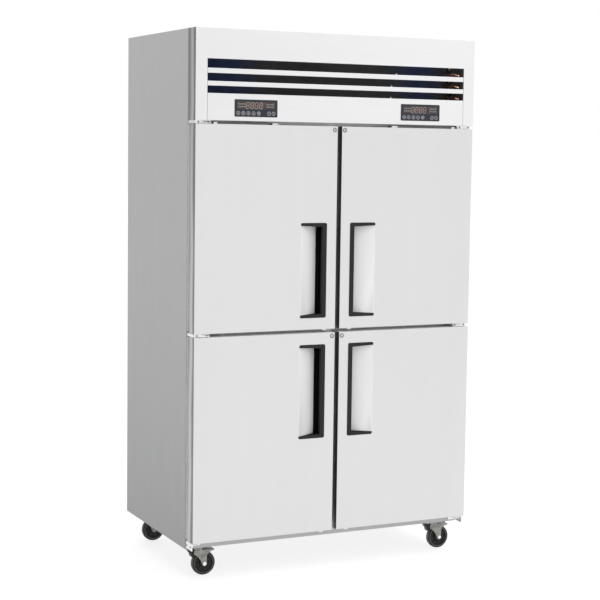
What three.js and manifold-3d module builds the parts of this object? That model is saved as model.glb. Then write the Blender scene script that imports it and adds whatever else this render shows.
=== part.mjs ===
// Four-door reach-in refrigerator on casters, as a three.js scene graph of separate pieces.
//
// Millimetres, +Z up. The origin is on the floor, under the middle of the whole object:
// +X is to the right of someone facing the doors, and +Y runs from the doors to the back.
// Paired pieces are drawn once, on the right (+X) side, and mirrored for the left.

import * as THREE from 'three';
import { mergeVertices } from 'three/addons/utils/BufferGeometryUtils.js';
import Module from 'manifold-3d';

const wasm = await Module();
wasm.setup();

// ---------------------------------------------------------------- driving dimensions

const WIDTH = 1110;
const HEIGHT = 1950;
const BODY_DEPTH = 640; // side panel, front edge to back
const DOOR_STANDOFF = 72; // from the side panels' front edge to the outer door face
const TRIM_PROUD = 2; // handles, locks and controllers stand this far off the door face
const GAP = 0.3; // left between pieces that touch
const SHEET = 1.5; // thickness of the folded steel sheet

const CABINET_BOTTOM = 113.5;
const BASE_TOP = 148;
const CAVITY_BOTTOM = 208;
const CAVITY_TOP = 1590;
const DECK_LEVEL = 1650; // top of the insulated body, floor of the machine bay
const HEADER_BOTTOM = 1633;

const DOOR_WIDTH = 545;
const DOOR_HEIGHT = 730;
const DOOR_THICKNESS = 55;
const DOOR_EDGE = 554; // outer edge of a closed door, from the middle of the cabinet
const DOOR_CLEARANCE = 1.5; // between the doors' top and bottom edges and the hinge brackets
const HINGE_INSET = 18; // hinge axis, from the door's outer edge
const LOWER_DOOR_BOTTOM = BASE_TOP;
const UPPER_DOOR_BOTTOM = 891.5;

const WHEEL_RADIUS = 44;
const CASTER_X = 488;
const CASTER_INSET = 53; // swivel axis, from the body's front and back faces
const CASTER_TRAIL = 22; // wheel axle, from the swivel axis

// Worked out from the dimensions above.
const HALF = WIDTH / 2;
const TRIM_FRONT = -(BODY_DEPTH + DOOR_STANDOFF + TRIM_PROUD) / 2;
const SKIN_FRONT = TRIM_FRONT + TRIM_PROUD;
const BODY_FRONT = SKIN_FRONT + DOOR_STANDOFF;
const BODY_BACK = -TRIM_FRONT;
const SIDE_INSIDE = HALF - SHEET;
const FRAME_EDGE = SIDE_INSIDE - GAP;
const FRAME_BACK = BODY_FRONT + 20;
const HINGE_X = DOOR_EDGE - HINGE_INSET;
const HINGE_Y = SKIN_FRONT + 25;
const UPPER_DOOR_TOP = UPPER_DOOR_BOTTOM + DOOR_HEIGHT;
const LOWER_DOOR_TOP = LOWER_DOOR_BOTTOM + DOOR_HEIGHT;
const CROSSBAR_MIDDLE = (UPPER_DOOR_BOTTOM + LOWER_DOOR_TOP) / 2;

// Each column's storage space, on the right side.
const CAVITY = { inner: 35, outer: 495, back: BODY_BACK - 61 };
const LINER_SHEET = 1;
const SHELF_LEVELS = { lower: 500, middle: 885, upper: 1255 };

// ---------------------------------------------------------------- materials

const steel = (name, color, roughness) =>
  new THREE.MeshStandardMaterial({ name, color, roughness, metalness: 0.85 });
const plastic = (name, color, roughness) =>
  new THREE.MeshStandardMaterial({ name, color, roughness, metalness: 0 });

const MATERIALS = {
  brushedSteel: steel('brushed_steel', 0xdcdddd, 0.35),
  sideSteel: steel('side_steel', 0xb4b5b6, 0.45),
  galvanised: steel('galvanised_steel', 0xa9adb0, 0.5),
  zinc: steel('zinc_plated', 0xb8b9b2, 0.4),
  chrome: steel('chrome_wire', 0xd0d3d6, 0.2),
  finStock: steel('aluminium_fins', 0x8d9296, 0.5),
  foam: plastic('insulated_body', 0xc9b98c, 0.9),
  blackPlastic: plastic('black_plastic', 0x26272a, 0.45),
  displayGloss: plastic('display_gloss', 0x17181a, 0.15),
  gasketRubber: plastic('gasket_rubber', 0x3d3e40, 0.7),
  wheelRubber: plastic('wheel_rubber', 0x2b2a29, 0.75),
  blackPaint: new THREE.MeshStandardMaterial({
    name: 'black_enamel', color: 0x1d1e20, roughness: 0.4, metalness: 0.3,
  }),
  whiteCover: plastic('white_cover', 0xe4e6e6, 0.5),
};

// ---------------------------------------------------------------- solids

/** Removes triangles that have shrunk to a line, as at the tip of a turned profile. */
function withoutSlivers(indices) {
  const kept = [];
  for (let i = 0; i < indices.length; i += 3) {
    const [a, b, c] = [indices[i], indices[i + 1], indices[i + 2]];
    if (a !== b && b !== c && c !== a) kept.push(a, b, c);
  }
  return kept;
}

/** Six times the signed volume that a triangle list encloses: negative if it is inside out. */
function signedVolume(positions, indices) {
  const corner = (i) => new THREE.Vector3().fromArray(positions, 3 * indices[i]);
  let volume = 0;
  for (let i = 0; i < indices.length; i += 3) {
    volume += corner(i).dot(corner(i + 1).cross(corner(i + 2)));
  }
  return volume;
}

function reversed(indices) {
  return indices.map((_, i) => indices[i - (i % 3) + 2 - (i % 3)]);
}

/** A closed three.js geometry as a solid that can be joined and cut. */
function solid(geometry) {
  const bare = geometry.clone();
  bare.deleteAttribute('normal');
  bare.deleteAttribute('uv');
  const merged = mergeVertices(bare, 1e-4);
  const positions = merged.attributes.position.array;
  let indices = withoutSlivers(merged.index.array);
  if (signedVolume(positions, indices) < 0) indices = reversed(indices);
  return new wasm.Manifold(new wasm.Mesh({
    numProp: 3,
    vertProperties: new Float32Array(positions),
    triVerts: new Uint32Array(indices),
  }));
}

/** The three.js geometry of a solid, mirrored to the left side when side is -1. */
function geometryOf(shape, side) {
  const mesh = shape.getMesh();
  const geometry = new THREE.BufferGeometry();
  const indices = [...mesh.triVerts];
  geometry.setAttribute('position', new THREE.BufferAttribute(mesh.vertProperties, 3));
  geometry.setIndex(side < 0 ? reversed(indices) : indices);
  geometry.scale(side, 1, 1);
  geometry.computeVertexNormals();
  return geometry;
}

/** A block between two opposite corners. */
function block([x0, y0, z0], [x1, y1, z1]) {
  const geometry = new THREE.BoxGeometry(x1 - x0, y1 - y0, z1 - z0);
  geometry.translate((x0 + x1) / 2, (y0 + y1) / 2, (z0 + z1) / 2);
  return solid(geometry);
}

/** A straight rod along the axis 'x', 'y' or 'z', between two places on that axis. */
function rod(axis, radius, from, to, [a, b], sides = 16) {
  const geometry = new THREE.CylinderGeometry(radius, radius, to - from, sides);
  const middle = (from + to) / 2;
  if (axis === 'x') geometry.rotateZ(Math.PI / 2).translate(middle, a, b);
  if (axis === 'y') geometry.translate(a, middle, b);
  if (axis === 'z') geometry.rotateX(Math.PI / 2).translate(a, b, middle);
  return solid(geometry);
}

/** An outline in the X-Y plane, raised from z0 to z1. */
function prismZ(outline, z0, z1, curveSegments = 6) {
  const options = { depth: z1 - z0, bevelEnabled: false, curveSegments };
  return solid(new THREE.ExtrudeGeometry(outline, options).translate(0, 0, z0));
}

/** An outline drawn as (x, z), taken from y0 to y1. */
function prismY(outline, y0, y1, curveSegments = 6) {
  const options = { depth: y1 - y0, bevelEnabled: false, curveSegments };
  const geometry = new THREE.ExtrudeGeometry(outline, options);
  return solid(geometry.rotateX(Math.PI / 2).translate(0, y1, 0));
}

/** A profile of (radius, height) points turned about the Z axis. */
function turned(profile, sides = 24) {
  const points = profile.map(([radius, height]) => new THREE.Vector2(radius, height));
  return solid(new THREE.LatheGeometry(points, sides).rotateX(Math.PI / 2));
}

/** A round bar bent along a curve. */
function bentBar(curve, radius, steps, sides = 8) {
  const section = new THREE.Shape();
  section.absarc(0, 0, radius, 0, 2 * Math.PI);
  const options = { steps, extrudePath: curve, curveSegments: sides / 2 };
  return solid(new THREE.ExtrudeGeometry(section, options));
}

function polygon(points) {
  return new THREE.Shape(points.map(([x, y]) => new THREE.Vector2(x, y)));
}

/** A rectangle with round corners; radii are given for the low-x and the high-x corners. */
function roundedRectangle([x0, y0], [x1, y1], lowRadius, highRadius = lowRadius) {
  const outline = new THREE.Shape();
  outline.moveTo(x0 + lowRadius, y0);
  outline.lineTo(x1 - highRadius, y0);
  outline.absarc(x1 - highRadius, y0 + highRadius, highRadius, -Math.PI / 2, 0);
  outline.lineTo(x1, y1 - highRadius);
  outline.absarc(x1 - highRadius, y1 - highRadius, highRadius, 0, Math.PI / 2);
  outline.lineTo(x0 + lowRadius, y1);
  outline.absarc(x0 + lowRadius, y1 - lowRadius, lowRadius, Math.PI / 2, Math.PI);
  outline.lineTo(x0, y0 + lowRadius);
  outline.absarc(x0 + lowRadius, y0 + lowRadius, lowRadius, Math.PI, 1.5 * Math.PI);
  return outline;
}

function joined(...solids) {
  return solids.reduce((whole, next) => whole.add(next));
}

/** Names a solid, gives it its material and places it in a group. */
function addPart(group, name, shape, material, side = 1) {
  const mesh = new THREE.Mesh(geometryOf(shape, side), material);
  mesh.name = name;
  group.add(mesh);
}

// ---------------------------------------------------------------- cabinet

function sidePanel() {
  return block(
    [SIDE_INSIDE, BODY_FRONT, CABINET_BOTTOM],
    [HALF, BODY_BACK, HEIGHT],
  );
}

const GLAND = { x: 430, z: 1600, bore: 6 };

/** The rear sheet, with the round hole near its top where the supply lead would enter. */
function backPanel() {
  const inside = BODY_BACK - SHEET;
  const sheet = block(
    [-FRAME_EDGE, inside, CABINET_BOTTOM],
    [FRAME_EDGE, BODY_BACK, DECK_LEVEL],
  );
  return sheet.subtract(rod('y', GLAND.bore, inside - 1, BODY_BACK + 1, [GLAND.x, GLAND.z], 20));
}

/** The floor tray that the casters bolt to; the foam body fills it from above. */
function basePan() {
  const back = BODY_BACK - SHEET - GAP;
  const tray = block(
    [-FRAME_EDGE, BODY_FRONT, CABINET_BOTTOM],
    [FRAME_EDGE, back, BASE_TOP - GAP],
  );
  const hollow = block(
    [-FRAME_EDGE + SHEET, BODY_FRONT + SHEET, CABINET_BOTTOM + SHEET],
    [FRAME_EDGE - SHEET, back - SHEET, BASE_TOP],
  );
  return tray.subtract(hollow);
}

/** Foam body: it fills the floor tray and walls in one tall cavity for each column of doors. */
function insulationCore() {
  const front = FRAME_BACK + GAP;
  const back = BODY_BACK - SHEET - GAP;
  const inTray = {
    x: FRAME_EDGE - SHEET - GAP,
    front: BODY_FRONT + SHEET + GAP,
    back: back - SHEET - GAP,
    bottom: CABINET_BOTTOM + SHEET + GAP,
  };
  const core = joined(
    block([-FRAME_EDGE, front, BASE_TOP], [FRAME_EDGE, back, DECK_LEVEL]),
    block([-inTray.x, inTray.front, inTray.bottom], [inTray.x, inTray.back, BASE_TOP - GAP]),
    block([-inTray.x, front, inTray.bottom + 1], [inTray.x, inTray.back, BASE_TOP + 1]),
  );
  const cavity = (x0, x1) => block(
    [x0, front - 1, CAVITY_BOTTOM],
    [x1, CAVITY.back, CAVITY_TOP],
  );
  return core
    .subtract(cavity(CAVITY.inner, CAVITY.outer))
    .subtract(cavity(-CAVITY.outer, -CAVITY.inner));
}

/** The steel box that lines one column, open at the front, with pressed ledges for the shelves. */
function liner() {
  const front = FRAME_BACK + GAP;
  const low = [CAVITY.inner + GAP, front, CAVITY_BOTTOM + GAP];
  const high = [CAVITY.outer - GAP, CAVITY.back - GAP, CAVITY_TOP - GAP];
  const inside = (corner, step) => corner.map((value) => value + step * LINER_SHEET);
  const hollow = block(
    [inside(low, 1)[0], front - 1, inside(low, 1)[2]],
    inside(high, -1),
  );
  let shell = block(low, high).subtract(hollow);
  const ledge = { reach: 12, height: 8, front: front + 25, back: CAVITY.back - 20 };
  for (const level of Object.values(SHELF_LEVELS)) {
    const z0 = level - ledge.height - GAP;
    const z1 = level - GAP;
    shell = joined(
      shell,
      block([low[0], ledge.front, z0], [low[0] + ledge.reach, ledge.back, z1]),
      block([high[0] - ledge.reach, ledge.front, z0], [high[0], ledge.back, z1]),
    );
  }
  return shell;
}

/** A welded wire shelf: a rim with wires from front to back. */
function shelf(level) {
  const rim = 6;
  const wire = 4;
  const wireCount = 9;
  const [x0, x1] = [CAVITY.inner + 8, CAVITY.outer - 8];
  const [y0, y1] = [FRAME_BACK + 26, CAVITY.back - 10];
  const outer = block([x0, y0, level], [x1, y1, level + rim]);
  const window = block([x0 + rim, y0 + rim, level - 1], [x1 - rim, y1 - rim, level + rim + 1]);
  let grid = outer.subtract(window);
  const pitch = (x1 - x0 - rim) / (wireCount + 1);
  for (let i = 1; i <= wireCount; i += 1) {
    const x = x0 + rim / 2 + i * pitch;
    grid = grid.add(block(
      [x - wire / 2, y0 + rim / 2, level + 1],
      [x + wire / 2, y1 - rim / 2, level + 1 + wire],
    ));
  }
  return grid;
}

/** The sheet-metal cover of a ceiling-hung cooling unit, with a raised ring for its fan guard. */
function evaporator() {
  const [x0, x1] = [CAVITY.inner + 30, CAVITY.outer - 30];
  const bottom = 1470;
  const [front, back] = [60, CAVITY.back - 10];
  const top = CAVITY_TOP - LINER_SHEET - 2 * GAP;
  const slope = 40;
  const profile = polygon([
    [x0, bottom + slope], [x0 + slope, bottom], [x1 - slope, bottom], [x1, bottom + slope],
    [x1, top], [x0, top],
  ]);
  const middle = [(x0 + x1) / 2, (bottom + top) / 2];
  const ring = rod('y', 52, front - 12, front + 1, middle, 24)
    .subtract(rod('y', 47, front - 13, front, middle, 24));
  const hub = rod('y', 20, front - 12, front + 1, middle, 12);
  return joined(prismY(profile, front, back), ring, hub);
}

// ---------------------------------------------------------------- front frame and header

const POST = { inner: 511.3, outer: HALF };
const BAND_BOTTOM = 1845.3;

/** Sheet of the header's end post: face, two returns and a closed bottom. */
function headerPost(mirror) {
  const x = (value) => value * mirror;
  const wall = ([xa, y0, z0], [xb, y1, z1]) =>
    block([Math.min(x(xa), x(xb)), y0, z0], [Math.max(x(xa), x(xb)), y1, z1]);
  return joined(
    wall([POST.inner, SKIN_FRONT, HEADER_BOTTOM], [POST.outer, SKIN_FRONT + SHEET, HEIGHT]),
    wall([POST.outer - SHEET, SKIN_FRONT, HEADER_BOTTOM], [POST.outer, BODY_FRONT - GAP, HEIGHT]),
    wall([POST.inner, SKIN_FRONT, HEADER_BOTTOM], [POST.inner + SHEET, BODY_FRONT + 1, HEIGHT]),
    wall(
      [POST.inner, SKIN_FRONT, HEADER_BOTTOM],
      [POST.outer, BODY_FRONT - GAP, HEADER_BOTTOM + SHEET],
    ),
    wall([POST.inner, BODY_FRONT, HEADER_BOTTOM], [FRAME_EDGE, FRAME_BACK, HEIGHT]),
  );
}

/** Face frame behind the doors, with the header's end posts and top band on it. */
function frontFrame() {
  const crossbar = 35;
  let frame = block(
    [-FRAME_EDGE, BODY_FRONT, BASE_TOP],
    [FRAME_EDGE, FRAME_BACK, DECK_LEVEL],
  );
  const inner = CAVITY.inner + 1;
  const outer = CAVITY.outer - 1;
  const rows = [
    [CAVITY_BOTTOM, CROSSBAR_MIDDLE - crossbar],
    [CROSSBAR_MIDDLE + crossbar, CAVITY_TOP],
  ];
  for (const [x0, x1] of [[inner, outer], [-outer, -inner]]) {
    for (const [z0, z1] of rows) {
      frame = frame.subtract(block([x0, BODY_FRONT - 1, z0], [x1, FRAME_BACK + 1, z1]));
    }
  }
  const band = block(
    [-HALF, SKIN_FRONT, BAND_BOTTOM],
    [HALF, SKIN_FRONT + SHEET, HEIGHT],
  );
  const topReturn = block(
    [-HALF, SKIN_FRONT, HEIGHT - SHEET],
    [HALF, SKIN_FRONT + 35, HEIGHT],
  );
  return joined(frame, headerPost(1), headerPost(-1), band, topReturn);
}

const HEADER_EDGE = POST.inner - 0.6;
const LOUVRES = { plateTop: 1727, bars: [[1752.5, 1768.5], [1796, 1813]], barDepth: 8 };
const CONTROLLER = { x: 328.5, z: 1678, width: 162, height: 60, bodyInset: 5 };

/** Removable centre panel: control plate below, louvre bars above, carried by side returns. */
function headerPanel() {
  const back = SKIN_FRONT + SHEET;
  let panel = block(
    [-HEADER_EDGE, SKIN_FRONT, HEADER_BOTTOM],
    [HEADER_EDGE, back, LOUVRES.plateTop],
  );
  for (const mirror of [-1, 1]) {
    const cutout = {
      x: CONTROLLER.x * mirror,
      halfWidth: CONTROLLER.width / 2 - CONTROLLER.bodyInset + 0.6,
      halfHeight: CONTROLLER.height / 2 - CONTROLLER.bodyInset + 0.6,
    };
    panel = panel.subtract(block(
      [cutout.x - cutout.halfWidth, SKIN_FRONT - 1, CONTROLLER.z - cutout.halfHeight],
      [cutout.x + cutout.halfWidth, back + 1, CONTROLLER.z + cutout.halfHeight],
    ));
    const edge = HEADER_EDGE * mirror;
    const fold = (HEADER_EDGE - SHEET) * mirror;
    panel = panel.add(block(
      [Math.min(edge, fold), SKIN_FRONT, HEADER_BOTTOM],
      [Math.max(edge, fold), SKIN_FRONT + 25, BAND_BOTTOM - 2 * GAP],
    ));
  }
  for (const [z0, z1] of LOUVRES.bars) {
    panel = panel.add(block(
      [-HEADER_EDGE, SKIN_FRONT, z0],
      [HEADER_EDGE, SKIN_FRONT + LOUVRES.barDepth, z1],
    ));
  }
  const bottomReturn = block(
    [-HEADER_EDGE, SKIN_FRONT, HEADER_BOTTOM],
    [HEADER_EDGE, BODY_FRONT - 6, HEADER_BOTTOM + SHEET],
  );
  return panel.add(bottomReturn);
}

/** Temperature controller: a thin bezel on the control plate, its case behind. */
function controller() {
  const { x, z, width, height, bodyInset } = CONTROLLER;
  const bezel = roundedRectangle(
    [x - width / 2, z - height / 2],
    [x + width / 2, z + height / 2],
    3,
  );
  const caseDepth = 52;
  const housing = block(
    [x - width / 2 + bodyInset, SKIN_FRONT - 1, z - height / 2 + bodyInset],
    [x + width / 2 - bodyInset, SKIN_FRONT + caseDepth, z + height / 2 - bodyInset],
  );
  return prismY(bezel, TRIM_FRONT, SKIN_FRONT - GAP, 3).add(housing);
}

// ---------------------------------------------------------------- machine bay

const COIL = {
  left: -497, right: 505, bottom: DECK_LEVEL + GAP, top: 1880,
  front: FRAME_BACK + 8, back: FRAME_BACK + 63,
};
const FANS = {
  x: [-204, 226], z: 1766, radius: 88,
  front: COIL.back + 29, back: COIL.back + 47,
};

/** Finned coil with copper bends on its right end, a fan shroud, and the motors on straps. */
function condenser() {
  const shroudBack = COIL.back + 26;
  let unit = block([COIL.left, COIL.front, COIL.bottom], [COIL.right, COIL.back, COIL.top]);
  const duct = block([COIL.left, COIL.back - 1, COIL.bottom], [COIL.right, shroudBack, COIL.top]);
  const ductHollow = block(
    [COIL.left + SHEET, COIL.back, COIL.bottom + SHEET],
    [COIL.right - SHEET, shroudBack - SHEET, COIL.top - SHEET],
  );
  unit = unit.add(duct.subtract(ductHollow));
  const motor = { front: FANS.back + 6, back: FANS.back + 50, radius: 36 };
  for (const x of FANS.x) {
    const mouth = rod('y', FANS.radius + 6, shroudBack - 3, shroudBack + 1, [x, FANS.z], 24);
    const strap = joined(
      block([x - 11, motor.front, COIL.bottom + 6], [x + 11, motor.front + 3, COIL.top - 6]),
      block([x - 11, shroudBack - 1, COIL.bottom + 6], [x + 11, motor.front + 1, COIL.bottom + 9]),
      block([x - 11, shroudBack - 1, COIL.top - 9], [x + 11, motor.front + 1, COIL.top - 6]),
    );
    const can = rod('y', motor.radius, motor.front + 1, motor.back, [x, FANS.z], 16);
    const shaft = rod('y', 4, FANS.back - 8, motor.front + 2, [x, FANS.z], 10);
    unit = joined(unit.subtract(mouth), strap, can, shaft);
  }
  const bendCount = 5;
  const bendPitch = (COIL.top - COIL.bottom) / bendCount;
  const bendRadius = 13;
  for (let i = 0; i < bendCount; i += 1) {
    const z = COIL.bottom + (i + 0.5) * bendPitch;
    const points = [-1, -1, -0.7, 0, 0.7, 1, 1].map((height, k) => {
      const reach = [-4, 4, 13, 18, 13, 4, -4][k];
      return new THREE.Vector3(COIL.right + reach, (COIL.front + COIL.back) / 2,
        z + height * bendRadius);
    });
    unit = unit.add(bentBar(new THREE.CatmullRomCurve3(points), 5, 8, 6));
  }
  return unit;
}

/** Five-bladed fan wheel, drawn about its own axle, which runs along Y. */
function fanWheel() {
  const bladeCount = 5;
  const halfWidth = (FANS.back - FANS.front) / 2;
  let wheel = rod('y', 26, -halfWidth, halfWidth, [0, 0], 20);
  for (let i = 0; i < bladeCount; i += 1) {
    const blade = new THREE.BoxGeometry(FANS.radius - 22, 2, 46)
      .translate((FANS.radius + 22) / 2, 0, 0)
      .rotateX(THREE.MathUtils.degToRad(20))
      .rotateY((2 * Math.PI * i) / bladeCount);
    wheel = wheel.add(solid(blade));
  }
  return wheel.subtract(rod('y', 4.4, 0, halfWidth + 1, [0, 0], 10));
}

/** Hermetic compressor: a domed welded can on a foot plate, with a terminal box. */
function compressor() {
  const foot = DECK_LEVEL + GAP;
  const radius = 74;
  const can = turned([
    [0, foot + 8], [radius - 20, foot + 8], [radius, foot + 30], [radius, foot + 84],
    [radius + 4, foot + 88], [radius, foot + 92], [radius, foot + 140],
    [radius - 30, foot + 172], [0, foot + 178],
  ], 20);
  const plate = prismZ(
    roundedRectangle([-95, -65], [95, 65], 14),
    foot,
    foot + 5,
    3,
  );
  const pedestal = rod('z', 30, foot + 4, foot + 12, [0, 0], 16);
  const terminalBox = block([radius - 8, -24, foot + 60], [radius + 24, 24, foot + 118]);
  return joined(can, plate, pedestal, terminalBox);
}

// ---------------------------------------------------------------- doors, drawn about the hinge axis

// In a door's own frame the hinge axis is the Z axis at its bottom edge, the leaf reaches towards
// -X, and its outer face looks along -Y.
const DOOR = {
  free: HINGE_INSET - DOOR_WIDTH,
  hinge: HINGE_INSET,
  front: SKIN_FRONT - HINGE_Y,
  back: SKIN_FRONT - HINGE_Y + DOOR_THICKNESS,
};
const PIN = { radius: 5, boreRadius: 5.6, depth: 18, boreDepth: 20 };

// The handle, with places measured from the door's free edge and depths from its outer face.
const HANDLE = {
  inner: 38, outer: 140, height: 342, fromEdge: 42,
  bar: 16.5, barDepth: 13, pocketFoot: 68, pocketDepth: 30, wall: 3,
  armRoot: 14, armTip: 10, cornerRadius: 6, tipRadius: 4.5,
};

const LOCK = { fromFree: 11, fromTop: 13, radius: 8, depth: 24, camReach: 20, camHalf: 4 };

/** Outline of the scooped recess in plan, from the free edge inwards, grown by a clearance. */
function recessOutline(clearance) {
  const x = (fromFree) => DOOR.free + fromFree;
  const y = (depth) => DOOR.front + depth;
  const floor = HANDLE.pocketDepth + HANDLE.wall + clearance;
  return polygon([
    [x(HANDLE.inner - clearance), y(-TRIM_PROUD - 1)],
    [x(HANDLE.outer + clearance), y(-TRIM_PROUD - 1)],
    [x(HANDLE.outer + clearance), y(0)],
    [x(HANDLE.pocketFoot + clearance), y(HANDLE.pocketDepth)],
    [x(HANDLE.pocketFoot + clearance), y(floor)],
    [x(HANDLE.inner - clearance), y(floor)],
  ]);
}

/** Front view of the handle and its recess, grown by a clearance. */
function handleOutline(bottom, clearance) {
  return roundedRectangle(
    [DOOR.free + HANDLE.inner - clearance, bottom - clearance],
    [DOOR.free + HANDLE.outer + clearance, bottom + HANDLE.height + clearance],
    HANDLE.cornerRadius,
    HANDLE.tipRadius,
  );
}

function recess(bottom, clearance) {
  const scoop = prismZ(recessOutline(clearance), bottom - 1, bottom + HANDLE.height + 1);
  const window = prismY(handleOutline(bottom, clearance), DOOR.front - 5, DOOR.back, 3);
  return scoop.intersect(window);
}

const PAN = { free: 30, hinge: 40, rise: 8 };

/** Space inside the leaf's skin, around the handle's recess and the pin bosses. */
function leafHollow(handleBottom) {
  const boss = 16;
  const bossAt = (z0, z1) => block([-boss, DOOR.front, z0], [DOOR.hinge, boss, z1]);
  const behindSkin = block(
    [DOOR.free + SHEET, DOOR.front + SHEET, SHEET],
    [DOOR.hinge - SHEET, DOOR.back - SHEET, DOOR_HEIGHT - SHEET],
  );
  const inPan = block(
    [DOOR.free + PAN.free + SHEET, DOOR.back - 2 * SHEET, PAN.free + SHEET],
    [DOOR.hinge - PAN.hinge - SHEET, DOOR.back + PAN.rise - SHEET, DOOR_HEIGHT - PAN.free - SHEET],
  );
  const recessWall = 5;
  return behindSkin.add(inPan)
    .subtract(recess(handleBottom, recessWall))
    .subtract(bossAt(0, PIN.boreDepth + SHEET))
    .subtract(bossAt(DOOR_HEIGHT - PIN.boreDepth - SHEET, DOOR_HEIGHT));
}

/** Door leaf: skin and inner pan as one shell, cut for the handle, the lock and the hinge pins. */
function doorPanel(handleBottom) {
  const lock = { x: DOOR.free + LOCK.fromFree, z: DOOR_HEIGHT - LOCK.fromTop };
  const camRoom = LOCK.radius + 0.8;
  const camFront = DOOR.front + LOCK.depth - 1 - 2 * GAP;
  const leaf = block([DOOR.free, DOOR.front, 0], [DOOR.hinge, DOOR.back, DOOR_HEIGHT]);
  const pan = block(
    [DOOR.free + PAN.free, DOOR.back - 1, PAN.free],
    [DOOR.hinge - PAN.hinge, DOOR.back + PAN.rise, DOOR_HEIGHT - PAN.free],
  );
  const bore = rod('y', LOCK.radius + 0.4, DOOR.front - 1, camFront + 1, [lock.x, lock.z], 20);
  const camSlot = block(
    [lock.x - camRoom, camFront, lock.z - camRoom],
    [lock.x + LOCK.camReach + 1.5, camFront + 4.5, DOOR_HEIGHT + 1],
  );
  const lowerBore = rod('z', PIN.boreRadius, -1, PIN.boreDepth, [0, 0]);
  const upperBore = rod('z', PIN.boreRadius, DOOR_HEIGHT - PIN.boreDepth, DOOR_HEIGHT + 1, [0, 0]);
  return leaf.add(pan)
    .subtract(leafHollow(handleBottom))
    .subtract(recess(handleBottom, GAP))
    .subtract(bore)
    .subtract(camSlot)
    .subtract(lowerBore)
    .subtract(upperBore);
}

/** Moulded pull: a hooked bar over a finger pocket, closed by a tapering arm at each end. */
function doorHandle(bottom) {
  const x = (fromFree) => DOOR.free + fromFree;
  const y = (depth) => DOOR.front + depth;
  const top = bottom + HANDLE.height;
  const { inner, outer, bar, barDepth, pocketFoot, pocketDepth, wall, armRoot, armTip } = HANDLE;
  const hook = prismZ(polygon([
    [x(inner), y(-TRIM_PROUD)],
    [x(inner + bar), y(-TRIM_PROUD)],
    [x(inner + bar), y(barDepth)],
    [x(inner + wall), y(barDepth + 1.5)],
    [x(inner + wall), y(pocketDepth)],
    [x(pocketFoot - GAP), y(pocketDepth)],
    [x(pocketFoot - GAP), y(pocketDepth + wall)],
    [x(inner), y(pocketDepth + wall)],
  ]), bottom, top);
  const arm = (edge, inward) => prismY(polygon([
    [x(inner), edge],
    [x(outer), edge],
    [x(outer), edge + inward * armTip],
    [x(inner + bar), edge + inward * armRoot],
    [x(inner), edge + inward * armRoot],
  ]), y(-TRIM_PROUD), y(pocketDepth + wall));
  return joined(hook, arm(top, -1), arm(bottom, 1)).intersect(recess(bottom, -GAP / 2));
}

/** Magnetic seal: a frame-shaped strip on the back of the leaf. */
function doorGasket() {
  const setback = 8;
  const width = 16;
  const outline = roundedRectangle(
    [DOOR.free + setback, setback],
    [0, DOOR_HEIGHT - setback],
    4,
  );
  outline.holes.push(roundedRectangle(
    [DOOR.free + setback + width, setback + width],
    [-width, DOOR_HEIGHT - setback - width],
    2,
  ));
  return prismY(outline, DOOR.back + GAP, BODY_FRONT - HINGE_Y - GAP, 3);
}

/** Key cylinder with its cam, drawn about its own axis, which runs along Y from the outer face. */
function doorLock() {
  const proud = 1.5;
  const camThickness = 3;
  const barrel = rod('y', LOCK.radius, -proud, LOCK.depth, [0, 0], 20);
  const keyway = block([-1.2, -proud - 1, -4], [1.2, 3, 4]);
  const cam = block(
    [-LOCK.camHalf, LOCK.depth - 1, -LOCK.camHalf],
    [LOCK.camReach, LOCK.depth - 1 + camThickness, LOCK.camHalf],
  );
  return joined(barrel, cam).subtract(keyway);
}

// ---------------------------------------------------------------- hinge brackets

const BRACKET = {
  inner: 490, outer: 553, narrowInner: 522,
  front: HINGE_Y - 15, back: BODY_FRONT - GAP,
  thickness: 3.2, lip: 3, corner: 3,
};

/** Folded bracket plate around the hinge axis, its outer edge turned into a side lip. */
function bracketArm(inner, plateBottom, lipBottom, lipTop) {
  const outline = roundedRectangle(
    [inner, BRACKET.front],
    [BRACKET.outer, BRACKET.back],
    BRACKET.corner,
  );
  const plate = prismZ(outline, plateBottom, plateBottom + BRACKET.thickness, 3);
  const sideLip = block(
    [BRACKET.outer - BRACKET.lip, BRACKET.front + BRACKET.corner - 1, lipBottom],
    [BRACKET.outer, BRACKET.back, lipTop],
  );
  return plate.add(sideLip);
}

function frontLip(bottom, top) {
  return block(
    [BRACKET.inner + BRACKET.corner, BRACKET.front, bottom],
    [BRACKET.outer - BRACKET.corner + 1, BRACKET.front + BRACKET.lip, top],
  );
}

/** The part of a bracket that is screwed flat to the face frame. */
function bracketFlange(inner, bottom, top) {
  return block(
    [inner + BRACKET.corner, BRACKET.back - BRACKET.lip, bottom],
    [BRACKET.outer, BRACKET.back, top],
  );
}

function hingePin(bottom, top) {
  return rod('z', PIN.radius, bottom, top, [HINGE_X, HINGE_Y]);
}

function topHinge() {
  const plate = HEADER_BOTTOM - GAP - BRACKET.thickness;
  const lipBottom = UPPER_DOOR_TOP + DOOR_CLEARANCE;
  return joined(
    bracketArm(BRACKET.inner, plate, lipBottom, HEADER_BOTTOM - GAP),
    frontLip(lipBottom, HEADER_BOTTOM - GAP),
    hingePin(UPPER_DOOR_TOP - PIN.depth, plate + 1),
  );
}

function middleHinge() {
  const plate = CROSSBAR_MIDDLE - BRACKET.thickness / 2;
  const lip = [LOWER_DOOR_TOP + DOOR_CLEARANCE, UPPER_DOOR_BOTTOM - DOOR_CLEARANCE];
  return joined(
    bracketArm(BRACKET.inner, plate, ...lip),
    frontLip(...lip),
    bracketFlange(BRACKET.inner, CROSSBAR_MIDDLE - 11, CROSSBAR_MIDDLE + 11),
    hingePin(LOWER_DOOR_TOP - PIN.depth, UPPER_DOOR_BOTTOM + PIN.depth),
  );
}

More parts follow.
